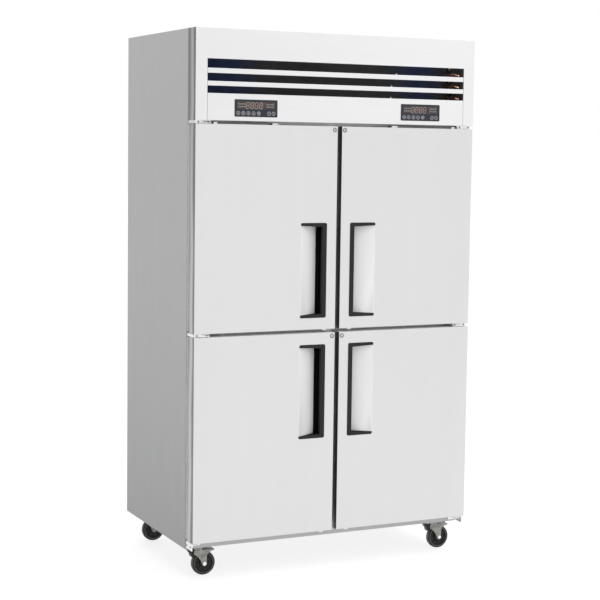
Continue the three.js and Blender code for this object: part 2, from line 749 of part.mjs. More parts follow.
function bottomHinge() {
  const plate = LOWER_DOOR_BOTTOM - 7;
  const flangeBottom = plate - 21;
  return joined(
    bracketArm(BRACKET.narrowInner, plate, flangeBottom, LOWER_DOOR_BOTTOM - DOOR_CLEARANCE),
    bracketFlange(BRACKET.narrowInner, flangeBottom, plate + 1),
    hingePin(plate + 1, LOWER_DOOR_BOTTOM + PIN.depth),
  );
}

// ---------------------------------------------------------------- casters, drawn about the swivel axis

const CASTER = {
  plateTop: CABINET_BOTTOM - GAP,
  plateThickness: 4,
  raceBottom: 99,
  crownBottom: 91,
  kingpin: 6,
  crownFront: -18.5,
  crownRear: CASTER_TRAIL + 38,
  legInside: 14.5,
  legOutside: 17,
};
const PEDAL_PIVOT = [-13, 83];

/** Bolt-on top plate with the upper bearing race and the kingpin. */
function casterPlate() {
  const { plateTop, plateThickness, raceBottom, crownBottom, kingpin } = CASTER;
  const outline = roundedRectangle([-46, -37], [46, 37], 6);
  for (const [x, y] of [[-36, -27], [36, -27], [36, 27], [-36, 27]]) {
    const hole = new THREE.Path();
    hole.absarc(x, y, 4.5, 0, 2 * Math.PI, true);
    outline.holes.push(hole);
  }
  const plate = prismZ(outline, plateTop - plateThickness, plateTop, 4);
  const race = rod('z', 23, raceBottom, plateTop - plateThickness + 1, [0, 0], 16);
  const pin = rod('z', kingpin, crownBottom - 3, raceBottom + 1, [0, 0], 8);
  const nut = rod('z', 7.5, crownBottom - 4.5, crownBottom - GAP, [0, 0], 6);
  return joined(plate, race, pin, nut);
}

/** Leg plate seen from the side: it tapers from the crown to a round end at the axle. */
function legOutline() {
  const { crownFront, crownRear, crownBottom } = CASTER;
  const top = crownBottom + 2;
  const boss = 9;
  const outline = new THREE.Shape();
  outline.moveTo(crownFront, top);
  outline.lineTo(crownFront, crownBottom - 10);
  outline.quadraticCurveTo(2, 71, CASTER_TRAIL - boss, WHEEL_RADIUS);
  outline.absarc(CASTER_TRAIL, WHEEL_RADIUS, boss, Math.PI, 2 * Math.PI);
  outline.lineTo(CASTER_TRAIL + boss, 70);
  outline.quadraticCurveTo(CASTER_TRAIL + boss + 1, 84, crownRear, crownBottom);
  outline.lineTo(crownRear, top);
  return outline;
}

/** Pressed fork with the axle bolt through it and a cross pin for the brake pedal. */
function casterFork(braked) {
  const { raceBottom, crownBottom, crownFront, crownRear, legInside, legOutside } = CASTER;
  const crown = block(
    [crownFront, -legOutside, crownBottom],
    [crownRear, legOutside, crownBottom + 3],
  );
  const dome = rod('z', 20, crownBottom + 1, raceBottom - GAP, [0, 0], 16);
  const hole = rod('z', CASTER.kingpin + 0.8, crownBottom - 1, raceBottom + 1, [0, 0], 8);
  const axle = rod('y', 4, -legOutside - 1, legOutside + 1, [CASTER_TRAIL, WHEEL_RADIUS], 12);
  const head = (y0, y1) => rod('y', 7, y0, y1, [CASTER_TRAIL, WHEEL_RADIUS], 6);
  let fork = joined(
    crown,
    dome,
    prismY(legOutline(), -legOutside, -legInside, 5),
    prismY(legOutline(), legInside, legOutside, 5),
  ).subtract(hole);
  fork = joined(fork, axle, head(-legOutside - 4, -legOutside + 1),
    head(legOutside - 1, legOutside + 4));
  if (braked) fork = fork.add(rod('y', 2.5, -legOutside + 1, legOutside - 1, PEDAL_PIVOT, 8));
  return fork;
}

/** Brake pedal beside the wheel: its outer end is pressed down to swing the shoe to the tread. */
function brakePedal() {
  const lever = prismY(polygon([
    [-42, 99], [-29, 82], [-25, 70], [-19, 68], [-8.5, 80], [-9, 88.5],
    [-20, 90], [-20, 96], [-24.5, 98.5], [-42, 103],
  ]), -13.5, 13.5);
  return lever.subtract(rod('y', 3, -15, 15, PEDAL_PIVOT, 8));
}

/** Wheel turned about its own axle, which runs along Y, with a flat of its tread underneath. */
function casterWheel() {
  const sides = 24;
  const rim = WHEEL_RADIUS / Math.cos(Math.PI / sides);
  const wheel = turned([
    [4.5, -13], [12, -13], [14, -9], [rim - 4, -11], [rim, -7],
    [rim, 7], [rim - 4, 11], [14, 9], [12, 13], [4.5, 13], [4.5, -13],
  ], sides);
  const geometry = geometryOf(wheel, 1)
    .rotateZ(Math.PI / sides)
    .rotateX(Math.PI / 2);
  return solid(geometry);
}

// ---------------------------------------------------------------- assembly

const refrigerator = new THREE.Group();

function groupAt(parent, x, y, z) {
  const group = new THREE.Group();
  group.position.set(x, y, z);
  parent.add(group);
  return group;
}

const SIDES = [['left', -1], ['right', 1]];

function addCabinet() {
  const { sideSteel, galvanised, foam, brushedSteel, chrome, whiteCover } = MATERIALS;
  addPart(refrigerator, 'back_panel', backPanel(), galvanised);
  addPart(refrigerator, 'base_pan', basePan(), galvanised);
  addPart(refrigerator, 'insulation_core', insulationCore(), foam);
  addPart(refrigerator, 'front_frame', frontFrame(), brushedSteel);
  addPart(refrigerator, 'header_panel', headerPanel(), brushedSteel);
  for (const [name, side] of SIDES) {
    addPart(refrigerator, `side_panel_${name}`, sidePanel(), sideSteel, side);
    addPart(refrigerator, `liner_${name}`, liner(), brushedSteel, side);
    addPart(refrigerator, `evaporator_${name}`, evaporator(), whiteCover, side);
    for (const [row, level] of Object.entries(SHELF_LEVELS)) {
      addPart(refrigerator, `shelf_${name}_${row}`, shelf(level), chrome, side);
    }
  }
}

function addMachinery() {
  const { finStock, blackPaint, blackPlastic, displayGloss } = MATERIALS;
  addPart(refrigerator, 'condenser', condenser(), finStock);
  SIDES.forEach(([name, side], i) => {
    const fanMiddle = (FANS.front + FANS.back) / 2;
    const fanGroup = groupAt(refrigerator, FANS.x[i], fanMiddle, FANS.z);
    addPart(fanGroup, `condenser_fan_${name}`, fanWheel(), blackPlastic);
    const bayGroup = groupAt(refrigerator, side * 300, 90, 0);
    addPart(bayGroup, `compressor_${name}`, compressor(), blackPaint, side);
    addPart(refrigerator, `controller_${name}`, controller(), displayGloss, side);
  });
}

function addHinges() {
  const brackets = { top: topHinge, middle: middleHinge, bottom: bottomHinge };
  for (const [name, side] of SIDES) {
    for (const [place, bracket] of Object.entries(brackets)) {
      addPart(refrigerator, `hinge_${name}_${place}`, bracket(), MATERIALS.zinc, side);
    }
  }
}

function addDoor(label, side, bottom, handleBottom) {
  const { brushedSteel, gasketRubber, blackPlastic, zinc } = MATERIALS;
  const door = groupAt(refrigerator, side * HINGE_X, HINGE_Y, bottom);
  addPart(door, `door_${label}`, doorPanel(handleBottom), brushedSteel, side);
  addPart(door, `gasket_${label}`, doorGasket(), gasketRubber, side);
  addPart(door, `handle_${label}`, doorHandle(handleBottom), blackPlastic, side);
  const lockX = side * (DOOR.free + LOCK.fromFree);
  const lock = groupAt(door, lockX, DOOR.front, DOOR_HEIGHT - LOCK.fromTop);
  addPart(lock, `lock_${label}`, doorLock(), zinc, side);
}

function addDoors() {
  const upperHandle = HANDLE.fromEdge;
  const lowerHandle = DOOR_HEIGHT - HANDLE.fromEdge - HANDLE.height;
  for (const [name, side] of SIDES) {
    addDoor(`upper_${name}`, side, UPPER_DOOR_BOTTOM, upperHandle);
    addDoor(`lower_${name}`, side, LOWER_DOOR_BOTTOM, lowerHandle);
  }
}

function addCaster(label, x, y, braked) {
  const { zinc, wheelRubber, blackPlastic } = MATERIALS;
  const caster = groupAt(refrigerator, x, y, 0);
  addPart(caster, `caster_plate_${label}`, casterPlate(), zinc);
  addPart(caster, `caster_fork_${label}`, casterFork(braked), zinc);
  const axle = groupAt(caster, CASTER_TRAIL, 0, WHEEL_RADIUS);
  addPart(axle, `caster_wheel_${label}`, casterWheel(), wheelRubber);
  if (braked) addPart(caster, `brake_pedal_${label}`, brakePedal(), blackPlastic);
}

function addCasters() {
  const rows = [
    ['front', BODY_FRONT + CASTER_INSET, true],
    ['rear', BODY_BACK - CASTER_INSET, false],
  ];
  for (const [row, y, braked] of rows) {
    for (const [name, side] of SIDES) {
      addCaster(`${row}_${name}`, side * CASTER_X, y, braked);
    }
  }
}

addCabinet();
addMachinery();
addHinges();
addDoors();
addCasters();

export default refrigerator;
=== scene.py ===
"""Looks of a four-door reach-in refrigerator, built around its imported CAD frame. Metres, +Z up."""

import math

import bmesh
import bpy
from mathutils import Matrix, Vector


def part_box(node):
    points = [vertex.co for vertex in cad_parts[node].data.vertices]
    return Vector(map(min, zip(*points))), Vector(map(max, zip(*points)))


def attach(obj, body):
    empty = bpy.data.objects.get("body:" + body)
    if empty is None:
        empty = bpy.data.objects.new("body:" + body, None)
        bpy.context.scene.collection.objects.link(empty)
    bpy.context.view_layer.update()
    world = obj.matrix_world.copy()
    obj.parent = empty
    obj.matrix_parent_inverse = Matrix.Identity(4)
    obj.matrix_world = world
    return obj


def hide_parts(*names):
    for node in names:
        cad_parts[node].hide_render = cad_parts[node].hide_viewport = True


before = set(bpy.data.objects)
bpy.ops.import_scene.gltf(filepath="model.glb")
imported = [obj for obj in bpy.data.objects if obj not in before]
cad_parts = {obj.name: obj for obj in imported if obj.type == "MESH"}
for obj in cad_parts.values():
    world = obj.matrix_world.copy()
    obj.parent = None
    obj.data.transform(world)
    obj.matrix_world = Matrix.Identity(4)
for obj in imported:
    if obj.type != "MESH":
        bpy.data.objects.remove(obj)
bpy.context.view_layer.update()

MM = 0.001
SIDES = {"left": -1, "right": 1}
ROWS = ("upper", "lower")
DOORS = [(row, side) for row in ROWS for side in SIDES]
CASTERS = [(row, side) for row in ("front", "rear") for side in SIDES]
CABINET = "cabinet"
CREASE_ANGLE = math.radians(46)  # edges sharper than this aren't shaded smooth
HINGE_X = 536 * MM  # the doors' pivots, on either side of the middle
HEADER_FLOOR = 1634 * MM
SUPPLY_HOLE = {"x": 430 * MM, "z": 1600 * MM}
COMPRESSOR_X = 300 * MM

# How an axis letter turns something that was drawn along +Z.
ALONG = {
    "Z": Matrix.Identity(4),
    "-Z": Matrix.Rotation(math.pi, 4, "X"),
    "Y": Matrix.Rotation(-math.pi / 2, 4, "X"),
    "-Y": Matrix.Rotation(math.pi / 2, 4, "X"),
    "X": Matrix.Rotation(math.pi / 2, 4, "Y"),
    "-X": Matrix.Rotation(-math.pi / 2, 4, "Y"),
}


def mm(lengths):
    """Millimetres as metres, for one length or for nested lists of them."""
    if isinstance(lengths, (int, float)):
        return lengths * MM
    return [mm(length) for length in lengths]


# ---------------------------------------------------------------- materials

class Finish:
    """A Principled material whose patterns come from noise in the object's own space."""

    def __init__(self, name, colour, metallic=0.0, roughness=0.5, **sockets):
        self.material = bpy.data.materials.new(name)
        self.material.use_nodes = True
        self.tree = self.material.node_tree
        self.shader = self.tree.nodes["Principled BSDF"]
        self.colour = colour
        self.shader.inputs["Base Color"].default_value = (*colour, 1)
        self.shader.inputs["Metallic"].default_value = metallic
        self.shader.inputs["Roughness"].default_value = roughness
        for socket, value in sockets.items():
            self.shader.inputs[socket.replace("_", " ")].default_value = value
        self.heights = []

    def node(self, kind, **settings):
        made = self.tree.nodes.new(kind)
        for key, value in settings.items():
            setattr(made, key, value)
        return made

    def link(self, source, target):
        self.tree.links.new(source, target)
        return self

    def place(self, scale):
        """Object coordinates, stretched by one number or by one for each axis."""
        coordinates = self.node("ShaderNodeTexCoord")
        mapping = self.node("ShaderNodeMapping")
        each_axis = [scale] * 3 if isinstance(scale, (int, float)) else scale
        mapping.inputs["Scale"].default_value = each_axis
        self.link(coordinates.outputs["Object"], mapping.inputs["Vector"])
        return mapping.outputs["Vector"]

    def noise(self, scale, detail=2.0, distortion=0.0):
        """Noise with so many cells a metre."""
        made = self.node("ShaderNodeTexNoise")
        made.inputs["Scale"].default_value = 1.0
        made.inputs["Detail"].default_value = detail
        made.inputs["Distortion"].default_value = distortion
        self.link(self.place(scale), made.inputs["Vector"])
        return made.outputs["Fac"]

    def cells(self, scale):
        """A different grey for each cell, as on zinc spangle."""
        made = self.node("ShaderNodeTexVoronoi")
        made.inputs["Scale"].default_value = 1.0
        self.link(self.place(scale), made.inputs["Vector"])
        split = self.node("ShaderNodeSeparateColor")
        self.link(made.outputs["Color"], split.inputs["Color"])
        return split.outputs["Red"]

    def along(self, axis, wander=0.0, scale=(0, 0, 0)):
        """Place along one axis in metres, made to wander by noise."""
        coordinates = self.node("ShaderNodeTexCoord")
        split = self.node("ShaderNodeSeparateXYZ")
        self.link(coordinates.outputs["Object"], split.inputs["Vector"])
        if not wander:
            return split.outputs[axis]
        offset = self.ranged(self.noise(scale, detail=1, distortion=0.4), -wander, wander)
        total = self.node("ShaderNodeMath", operation="ADD")
        self.link(split.outputs[axis], total.inputs[0])
        self.link(offset, total.inputs[1])
        return total.outputs["Value"]

    def ranged(self, factor, low, high, span=(0.3, 0.7)):
        made = self.node("ShaderNodeMapRange")
        made.inputs["From Min"].default_value = span[0]
        made.inputs["From Max"].default_value = span[1]
        made.inputs["To Min"].default_value = low
        made.inputs["To Max"].default_value = high
        self.link(factor, made.inputs["Value"])
        return made.outputs["Result"]

    def tones(self, factor, dark, light, span=(0.3, 0.7)):
        """Colour between two tones of the base colour, or between two colours."""
        mix = self.node("ShaderNodeMix", data_type="RGBA")
        for socket, tone in ((6, dark), (7, light)):
            colour = [tone * c for c in self.colour] if isinstance(tone, float) else tone
            mix.inputs[socket].default_value = (*colour, 1)
        self.link(self.ranged(factor, 0, 1, span), mix.inputs[0])
        return self.link(mix.outputs[2], self.shader.inputs["Base Color"])

    def shade(self, factor, dark, light, span):
        """Multiplies the colour by a tone that follows the factor, for painted light and shade."""
        base = self.shader.inputs["Base Color"]
        mix = self.node("ShaderNodeMix", data_type="RGBA", blend_type="MULTIPLY")
        mix.inputs[0].default_value = 1
        self.link(base.links[0].from_socket, mix.inputs[6])
        self.link(self.ranged(factor, dark, light, span), mix.inputs[7])
        return self.link(mix.outputs[2], base)

    def bands(self, factor, colours, span):
        """Base colour from a row of equally spaced colours or greys."""
        ramp = self.node("ShaderNodeValToRGB")
        elements = ramp.color_ramp.elements
        for i in range(1, len(colours) - 1):
            elements.new(i / (len(colours) - 1))
        for element, colour in zip(elements, colours):
            mixed = [colour] * 3 if isinstance(colour, float) else colour
            element.color = (*mixed, 1)
        self.link(self.ranged(factor, 0, 1, span), ramp.inputs["Fac"])
        return self.link(ramp.outputs["Color"], self.shader.inputs["Base Color"])

    def gloss(self, factor, low, high, span=(0.3, 0.7)):
        return self.link(self.ranged(factor, low, high, span), self.shader.inputs["Roughness"])

    def bump(self, factor, height, strength=0.6):
        """Relief of that height in metres, on top of any relief already there."""
        made = self.node("ShaderNodeBump")
        made.inputs["Distance"].default_value = height
        made.inputs["Strength"].default_value = strength
        self.link(factor, made.inputs["Height"])
        if self.heights:
            self.link(self.heights[-1].outputs["Normal"], made.inputs["Normal"])
        self.heights.append(made)
        return self.link(made.outputs["Normal"], self.shader.inputs["Normal"])


def brushed(name, colour, roughness, grain, waves=0.0, metallic=0.92):
    """Brushed sheet: long fine scratches along one axis, faint clouding and, if asked, waviness."""
    finish = Finish(name, colour, metallic, roughness)
    fine = finish.noise([8 if axis in grain else 900 for axis in "XYZ"], detail=3)
    broad = finish.noise([0.8 if axis in grain else 14 for axis in "XYZ"], detail=1)
    finish.tones(broad, 0.985, 1.0)
    finish.gloss(fine, roughness - 0.06, roughness + 0.08)
    finish.bump(fine, 0.02 * MM, 0.35)
    if waves:
        finish.bump(finish.noise((3, 3, 1.4), detail=0), waves, 0.5)
    return finish


def uneven(name, colour, metallic=0.0, roughness=0.5, tone=(), gloss=(), relief=(), **sockets):
    """A finish with noise in its tone, gloss and relief: (scale, detail, then the two limits)."""
    finish = Finish(name, colour, metallic, roughness, **sockets)
    changes = ((finish.tones, tone), (finish.gloss, gloss), (finish.bump, relief))
    for change, settings in changes:
        if settings:
            scale, detail, *limits = settings
            change(finish.noise(scale, detail), *limits)
    return finish


def moulded(name, colour, roughness, shine):
    """Moulded plastic: fine spark-eroded texture and slight unevenness of tone."""
    return uneven(name, colour, 0.0, roughness, (60, 3, 0.85, 1.2),
                  (150, 2, roughness - 0.05, roughness + 0.1), (1500, 2, 0.03 * MM, 0.5),
                  Specular_IOR_Level=shine)


def painted_edge_reflections():
    """Steel of the doors' narrow sides, with painted reflections: dark and bright bands of the room
    painted across its depth.
    """
    edge = Finish("door_edge_steel", (0.5, 0.5, 0.505), 0.9, 0.3)
    edge.bands(edge.along("Y", 6 * MM, (2, 2, 3.4)), [0.13, 0.17, 0.5, 0.4, 0.2],
               (-355 * MM, -298 * MM))
    return edge.bump(edge.noise((900, 900, 8)), 0.02 * MM, 0.3)


def galvanised_steel():
    galvanised = Finish("galvanised_steel", (0.5, 0.52, 0.53), 0.8, 0.45)
    spangle = galvanised.cells(95)
    galvanised.tones(spangle, 0.82, 1.1, (0, 1))
    galvanised.gloss(spangle, 0.36, 0.56, (0, 1))
    return galvanised.bump(galvanised.noise(300), 0.02 * MM, 0.3)


def fins_painted_reflections():
    """Dark fins, with painted bluish reflections in wandering bands along the coil."""
    fins = Finish("fins_painted_reflections", (0.1, 0.1, 0.11), 0.1, 0.45)
    reflected_navy, grey = (0.07, 0.11, 0.26), (0.14, 0.14, 0.145)
    fins.bands(fins.along("X", 20 * MM, (3, 3, 14)),
               [reflected_navy, reflected_navy, grey, 0.11, grey, grey, grey, reflected_navy, grey], (-0.5, 0.5))
    return fins.bump(fins.noise((400, 400, 60)), 0.05 * MM, 0.4)


def foam_body():
    foam = Finish("foam_body", (0.72, 0.63, 0.42), 0.0, 0.9)
    foam.tones(foam.noise(40, 4), 0.85, 1.05)
    return foam.bump(foam.cells(600), 0.3 * MM)


def sheet_steels():
    """Brushed sheet. Door, header, side and frame are one steel given different greys, with a slow
    change of tone painted across each face: painted light and shade, as each face shows in an even
    room.
    """
    steels = {
        # painted light and shade: the side is a darker grey than the doors, the header a lighter one
        "door": brushed("door_steel", (0.72, 0.72, 0.725), 0.36, "Z"),
        "header": brushed("header_steel", (0.82, 0.82, 0.825), 0.33, "X"),
        "side": brushed("side_steel", (0.56, 0.562, 0.566), 0.42, "Z"),
        # painted light: a near-white, barely metallic copy of the steel for the face frame and the
        # doors' ends, which sit in shaded gaps
        "frame": brushed("frame_steel", (0.92, 0.922, 0.925), 0.4, "Z", metallic=0.1),
        "scoop": brushed("scoop_steel", (0.8, 0.8, 0.805), 0.6, "Z", metallic=0.4),
        "rail": brushed("rail_steel", (0.4, 0.402, 0.405), 0.4, "X"),
        "liner": brushed("liner_steel", (0.72, 0.73, 0.735), 0.3, "Z", waves=0.4 * MM),
    }
    # painted shade: the side and the doors darker towards the bottom; painted light: the header
    # lighter towards the right
    steels["side"].shade(steels["side"].along("Z"), 0.56, 1.0, (0.12, 1.95))
    steels["door"].shade(steels["door"].along("Z"), 0.95, 1.0, (0.15, 1.2))
    steels["header"].shade(steels["header"].along("X"), 0.955, 1.03, (-0.5, 0.4))
    return steels


def metals():
    return {
        "edge": painted_edge_reflections(),
        "galvanised": galvanised_steel(),
        "fins": fins_painted_reflections(),
        "zinc": uneven("zinc_plated", (0.26, 0.265, 0.24), 0.8, 0.36,
                       (60, 3, (0.17, 0.175, 0.155), (0.33, 0.34, 0.315)),
                       (240, 2, 0.28, 0.46), (500, 2, 0.02 * MM, 0.3)),
        "bright": uneven("bright_zinc", (0.84, 0.85, 0.85), 0.9, 0.28, (80, 3, 0.88, 1.05),
                         relief=(600, 2, 0.01 * MM, 0.3)),
        "chrome": uneven("chrome_wire", (0.8, 0.81, 0.83), 1.0, 0.14, (30, 2, 0.9, 1.0),
                         (200, 2, 0.1, 0.24)),
        "copper": uneven("copper_tube", (0.7, 0.33, 0.19), 1.0, 0.28,
                         (50, 3, (0.5, 0.24, 0.13), (0.95, 0.62, 0.42)), (160, 2, 0.2, 0.42)),
    }


def display_parts():
    """Film, window, figures and printing of the controllers."""
    made = {
        "glass": uneven("display_film", (0.02, 0.022, 0.032), 0.0, 0.12,
                        ((30, 30, 90), 1, 0.8, 1.25), (90, 2, 0.08, 0.2),
                        Specular_IOR_Level=0.35),
        "window": uneven("display_window", (0.05, 0.035, 0.03), 0.0, 0.15,
                         (60, 1, (0.03, 0.026, 0.028), (0.075, 0.055, 0.046)),
                         Specular_IOR_Level=0.35),
        "digits": uneven("display_segments", (0.5, 0.37, 0.34), 0.0, 0.4, (300, 1, 0.8, 1.15)),
    }
    for name, grey in (("marks", 0.5), ("lamps", 0.17)):
        made[name] = uneven(f"printed_{name}", (grey, grey, 1.06 * grey), 0.0, 0.5,
                            (200, 1, 0.75, 1.15))
    return made


def plastics_and_paints():
    return {
        "foam": foam_body(),
        "plastic": moulded("black_plastic", (0.013, 0.013, 0.014), 0.42, 0.25),
        # painted shade: near-black plastic for the insides of pockets, keyways, notches and vent
        # slots
        "pocket": moulded("painted_shade_plastic", (0.003, 0.003, 0.003), 0.6, 0.05),
        "bezel": moulded("bezel_plastic", (0.02, 0.021, 0.025), 0.35, 0.3),
        # painted shade: near-black steel for walls, plates and sheets that stand in shade behind the
        # louvres
        "shade": moulded("painted_shade_steel", (0.05, 0.05, 0.052), 0.6, 0.2),
        "rubber": uneven("gasket_rubber", (0.2, 0.2, 0.205), 0.0, 0.62, (25, 3, 0.8, 1.2),
                         relief=(700, 2, 0.04 * MM, 0.4)),
        "tread": uneven("tread_rubber", (0.1, 0.1, 0.098), 0.0, 0.7,
                        (70, 4, (0.07, 0.07, 0.067), (0.16, 0.16, 0.155)),
                        relief=(500, 3, 0.1 * MM, 0.5)),
        "hub": uneven("hub_plastic", (0.012, 0.012, 0.0115), 0.0, 0.5, (90, 3, 0.7, 1.5),
                      relief=(600, 2, 0.03 * MM, 0.4), Specular_IOR_Level=0.3),
        "enamel": uneven("black_enamel", (0.014, 0.014, 0.015), 0.0, 0.3,
                         gloss=(120, 3, 0.24, 0.44), relief=(260, 2, 0.08 * MM, 0.35),
                         Coat_Weight=0.4),
        "cover": uneven("white_cover", (0.8, 0.81, 0.81), 0.0, 0.42, (8, 3, 0.95, 1.02),
                        relief=(900, 2, 0.02 * MM, 0.3)),
    }


def make_finishes():
    groups = (sheet_steels(), metals(), display_parts(), plastics_and_paints())
    return {name: finish.material for group in groups for name, finish in group.items()}


FINISHES = make_finishes()


# ---------------------------------------------------------------- shapes

def bridge(bm, below, above):
    """Faces between two rings of vertices; a ring of one vertex is a tip."""
    count = max(len(below), len(above))
    for i in range(count):
        j = (i + 1) % count
        corners = [below[i % len(below)], below[j % len(below)]]
        corners += [above[j % len(above)], above[i % len(above)]]
        corners = list(dict.fromkeys(corners))
        if len(corners) > 2:
            bm.faces.new(corners)


def loft(bm, rings, closed=False, capped=False):
    """Skin over a row of rings, joined up at its ends or capped, facing out."""
    pairs = list(zip(rings, rings[1:]))
    if closed:
        pairs.append((rings[-1], rings[0]))
    for below, above in pairs:
        bridge(bm, below, above)
    if capped:
        bm.faces.new(rings[0])
        bm.faces.new(rings[-1])
    bmesh.ops.recalc_face_normals(bm, faces=bm.faces)


def round_edges(bm, width, segments, shortest=0.0, least_angle=30):
    """Bevels the sharp edges that are longer than shortest."""
    edges = [
        edge for edge in bm.edges
        if edge.is_manifold
        and edge.calc_face_angle() > math.radians(least_angle)
        and edge.calc_length() > shortest
    ]
    if edges and width > 0:
        bmesh.ops.bevel(
            bm, geom=edges, offset=width, offset_type="OFFSET", segments=segments,
            profile=0.5, affect="EDGES", clamp_overlap=True,
        )


def filleted(points, radius, steps=5, closed=False):
    """The points of a bent rod's middle line, with each corner rounded off."""
    points = [Vector(point) for point in points]
    count = len(points)
    path = []
    for i, corner in enumerate(points):
        if not closed and i in (0, count - 1):
            path.append(corner)
            continue
        before, after = points[i - 1], points[(i + 1) % count]
        start = corner + (before - corner).normalized() * radius
        end = corner + (after - corner).normalized() * radius
        for step in range(steps + 1):
            t = step / steps
            path.append((1 - t) ** 2 * start + 2 * t * (1 - t) * corner + t * t * end)
    return path


def circle(middle, radius, steps=24, start=0.0, sweep=2 * math.pi):
    """Points (u, v) on an arc."""
    return [
        (
            middle[0] + radius * math.cos(start + sweep * i / steps),
            middle[1] + radius * math.sin(start + sweep * i / steps),
        )
        for i in range(steps + (sweep < 2 * math.pi))
    ]


class Shape:
    """A piece in the making, gathered from rounded blocks, prisms, turned profiles and tubes."""

    def __init__(self, node=None):
        self.bm = bmesh.new()
        self.paint = 0
        if node:
            self.bm.from_mesh(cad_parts[node].data)
            bmesh.ops.remove_doubles(self.bm, verts=self.bm.verts, dist=0.002 * MM)
            bmesh.ops.dissolve_limit(
                self.bm, angle_limit=math.radians(0.5), verts=self.bm.verts, edges=self.bm.edges,
            )

    def take(self, part, place=None):
        """Adds a finished part, moved by a matrix, in the current paint."""
        for face in part.faces:
            face.material_index = self.paint
        if place is not None:
            bmesh.ops.transform(part, matrix=place, verts=part.verts)
        mesh = bpy.data.meshes.new("part")
        part.to_mesh(mesh)
        part.free()
        self.bm.from_mesh(mesh)
        bpy.data.meshes.remove(mesh)
        return self

    def soften(self, width, segments=2, shortest=4 * MM):
        round_edges(self.bm, width, segments, shortest)
        return self

    def block(self, low, high, edge=0.4 * MM, segments=2):
        low, high = Vector(low), Vector(high)
        part = bmesh.new()
        bmesh.ops.create_cube(part, size=1)
        size = [abs(value) for value in high - low]
        bmesh.ops.scale(part, vec=size, verts=part.verts)
        round_edges(part, min(edge, min(size) / 3), segments)
        return self.take(part, Matrix.Translation((low + high) / 2))

    def prism(self, outline, axis, start, end, edge=0.4 * MM):
        """Raises an outline along an axis: (x, y) for Z, (x, z) for Y or (y, z) for X."""
        order = {"Z": (0, 1, 2), "Y": (0, 2, 1), "X": (2, 0, 1)}[axis]
        part = bmesh.new()
        rings = []
        for level in (start, end):
            rings.append([
                part.verts.new([(u, v, level)[k] for k in order]) for u, v in outline
            ])
        loft(part, rings, capped=True)
        round_edges(part, edge, 2, least_angle=50)
        return self.take(part)

    def turned(self, profile, middle, axis="Z", sides=32, closed=False):
        """Turns (radius, height) points about an axis through middle."""
        part = bmesh.new()
        rings = []
        for radius, height in profile:
            angles = [2 * math.pi * i / sides for i in range(sides)] if radius else [0]
            rings.append([
                part.verts.new((radius * math.cos(a), radius * math.sin(a), height))
                for a in angles
            ])
        loft(part, rings, closed)
        return self.take(part, Matrix.Translation(middle) @ ALONG[axis])

    def tube(self, path, radius, sides=10, closed=False):
        """A round rod along a path of points."""
        path = [Vector(point) for point in path]
        count = len(path)
        part = bmesh.new()
        side = None
        rings = []
        for i, point in enumerate(path):
            ahead = path[(i + 1) % count] if closed or i < count - 1 else point
            behind = path[i - 1] if closed or i else point
            along = (ahead - behind).normalized()
            if side is None:
                side = along.orthogonal()
            side = (side - along * side.dot(along)).normalized()
            other = along.cross(side)
            rings.append([
                part.verts.new(point + radius * (u * side + v * other))
                for u, v in circle((0, 0), 1, sides)
            ])
        loft(part, rings, closed, capped=not closed)
        return self.take(part)

    def screw(self, middle, axis, radius=3.2 * MM, height=1.6 * MM):
        """Pan head with a round socket, standing on middle."""
        return self.turned([
            (radius, 0), (radius, 0.35 * height), (0.86 * radius, 0.8 * height),
            (0.6 * radius, height), (0.36 * radius, height), (0.32 * radius, 0.35 * height),
            (0, 0.35 * height),
        ], middle, axis, 20)

    def repaint(self, paint, test):
        """Gives another of the piece's materials to the faces that pass a test."""
        self.bm.normal_update()
        for face in self.bm.faces:
            if test(face):
                face.material_index = paint
        return self

    def piece(self, name, finishes, body, slot=None, stands_for=()):
        """Makes the object and lets it ride on its body."""
        mesh = bpy.data.meshes.new(name)
        self.bm.to_mesh(mesh)
        self.bm.free()
        for face in mesh.polygons:
            face.use_smooth = True
        mesh.set_sharp_from_angle(angle=CREASE_ANGLE)
        for finish in [finishes] if isinstance(finishes, str) else finishes:
            mesh.materials.append(FINISHES[finish])
        made = bpy.data.objects.new(name, mesh)
        bpy.context.scene.collection.objects.link(made)
        weighted = made.modifiers.new("even_shading", "WEIGHTED_NORMAL")
        weighted.keep_sharp = True
        weighted.weight = 100
        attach(made, body)
        if stands_for:
            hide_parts(*stands_for)
        return made


def stand_in(node, finishes, body, slot, width, shortest=4 * MM, segments=2, repaint=()):
    """A copy of a CAD node with softened edges, shown in its place."""
    shape = Shape(node).soften(width, segments, shortest)
    for paint, test in repaint:
        shape.repaint(paint, test)
    return shape.piece(f"{node}_skin", finishes, body, slot, [node])


# ---------------------------------------------------------------- cabinet shell

def add_cabinet_shell():
    for side in SIDES:
        stand_in(f"side_panel_{side}", "side", CABINET, "side_steel", 0.6 * MM)
        stand_in(f"liner_{side}", "liner", CABINET, "liner_steel", 0.5 * MM, 20 * MM)
    stand_in("base_pan", "rail", CABINET, "galvanised_steel", 0.6 * MM, 20 * MM)
    # painted shade on the walls inside the header, painted light on the face frame behind the doors,
    # painted reflections on the header's end posts
    stand_in("front_frame", ["header", "frame", "edge", "shade"], CABINET, "brushed_steel",
             1.2 * MM, 15 * MM, 3,
             repaint=[(3, inside_header), (1, behind_header), (2, on_header_side)])
    add_header_panel()
    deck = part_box("insulation_core")[1].z
    stand_in("insulation_core", ["foam", "galvanised"], CABINET, "insulated_body", 0.6 * MM,
             20 * MM, repaint=[(1, lambda face: face.calc_center_median().z > deck - MM)])


def behind_header(face):
    """True for the face frame that the doors close against."""
    return face.calc_center_median().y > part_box("front_frame")[1].y - 25 * MM


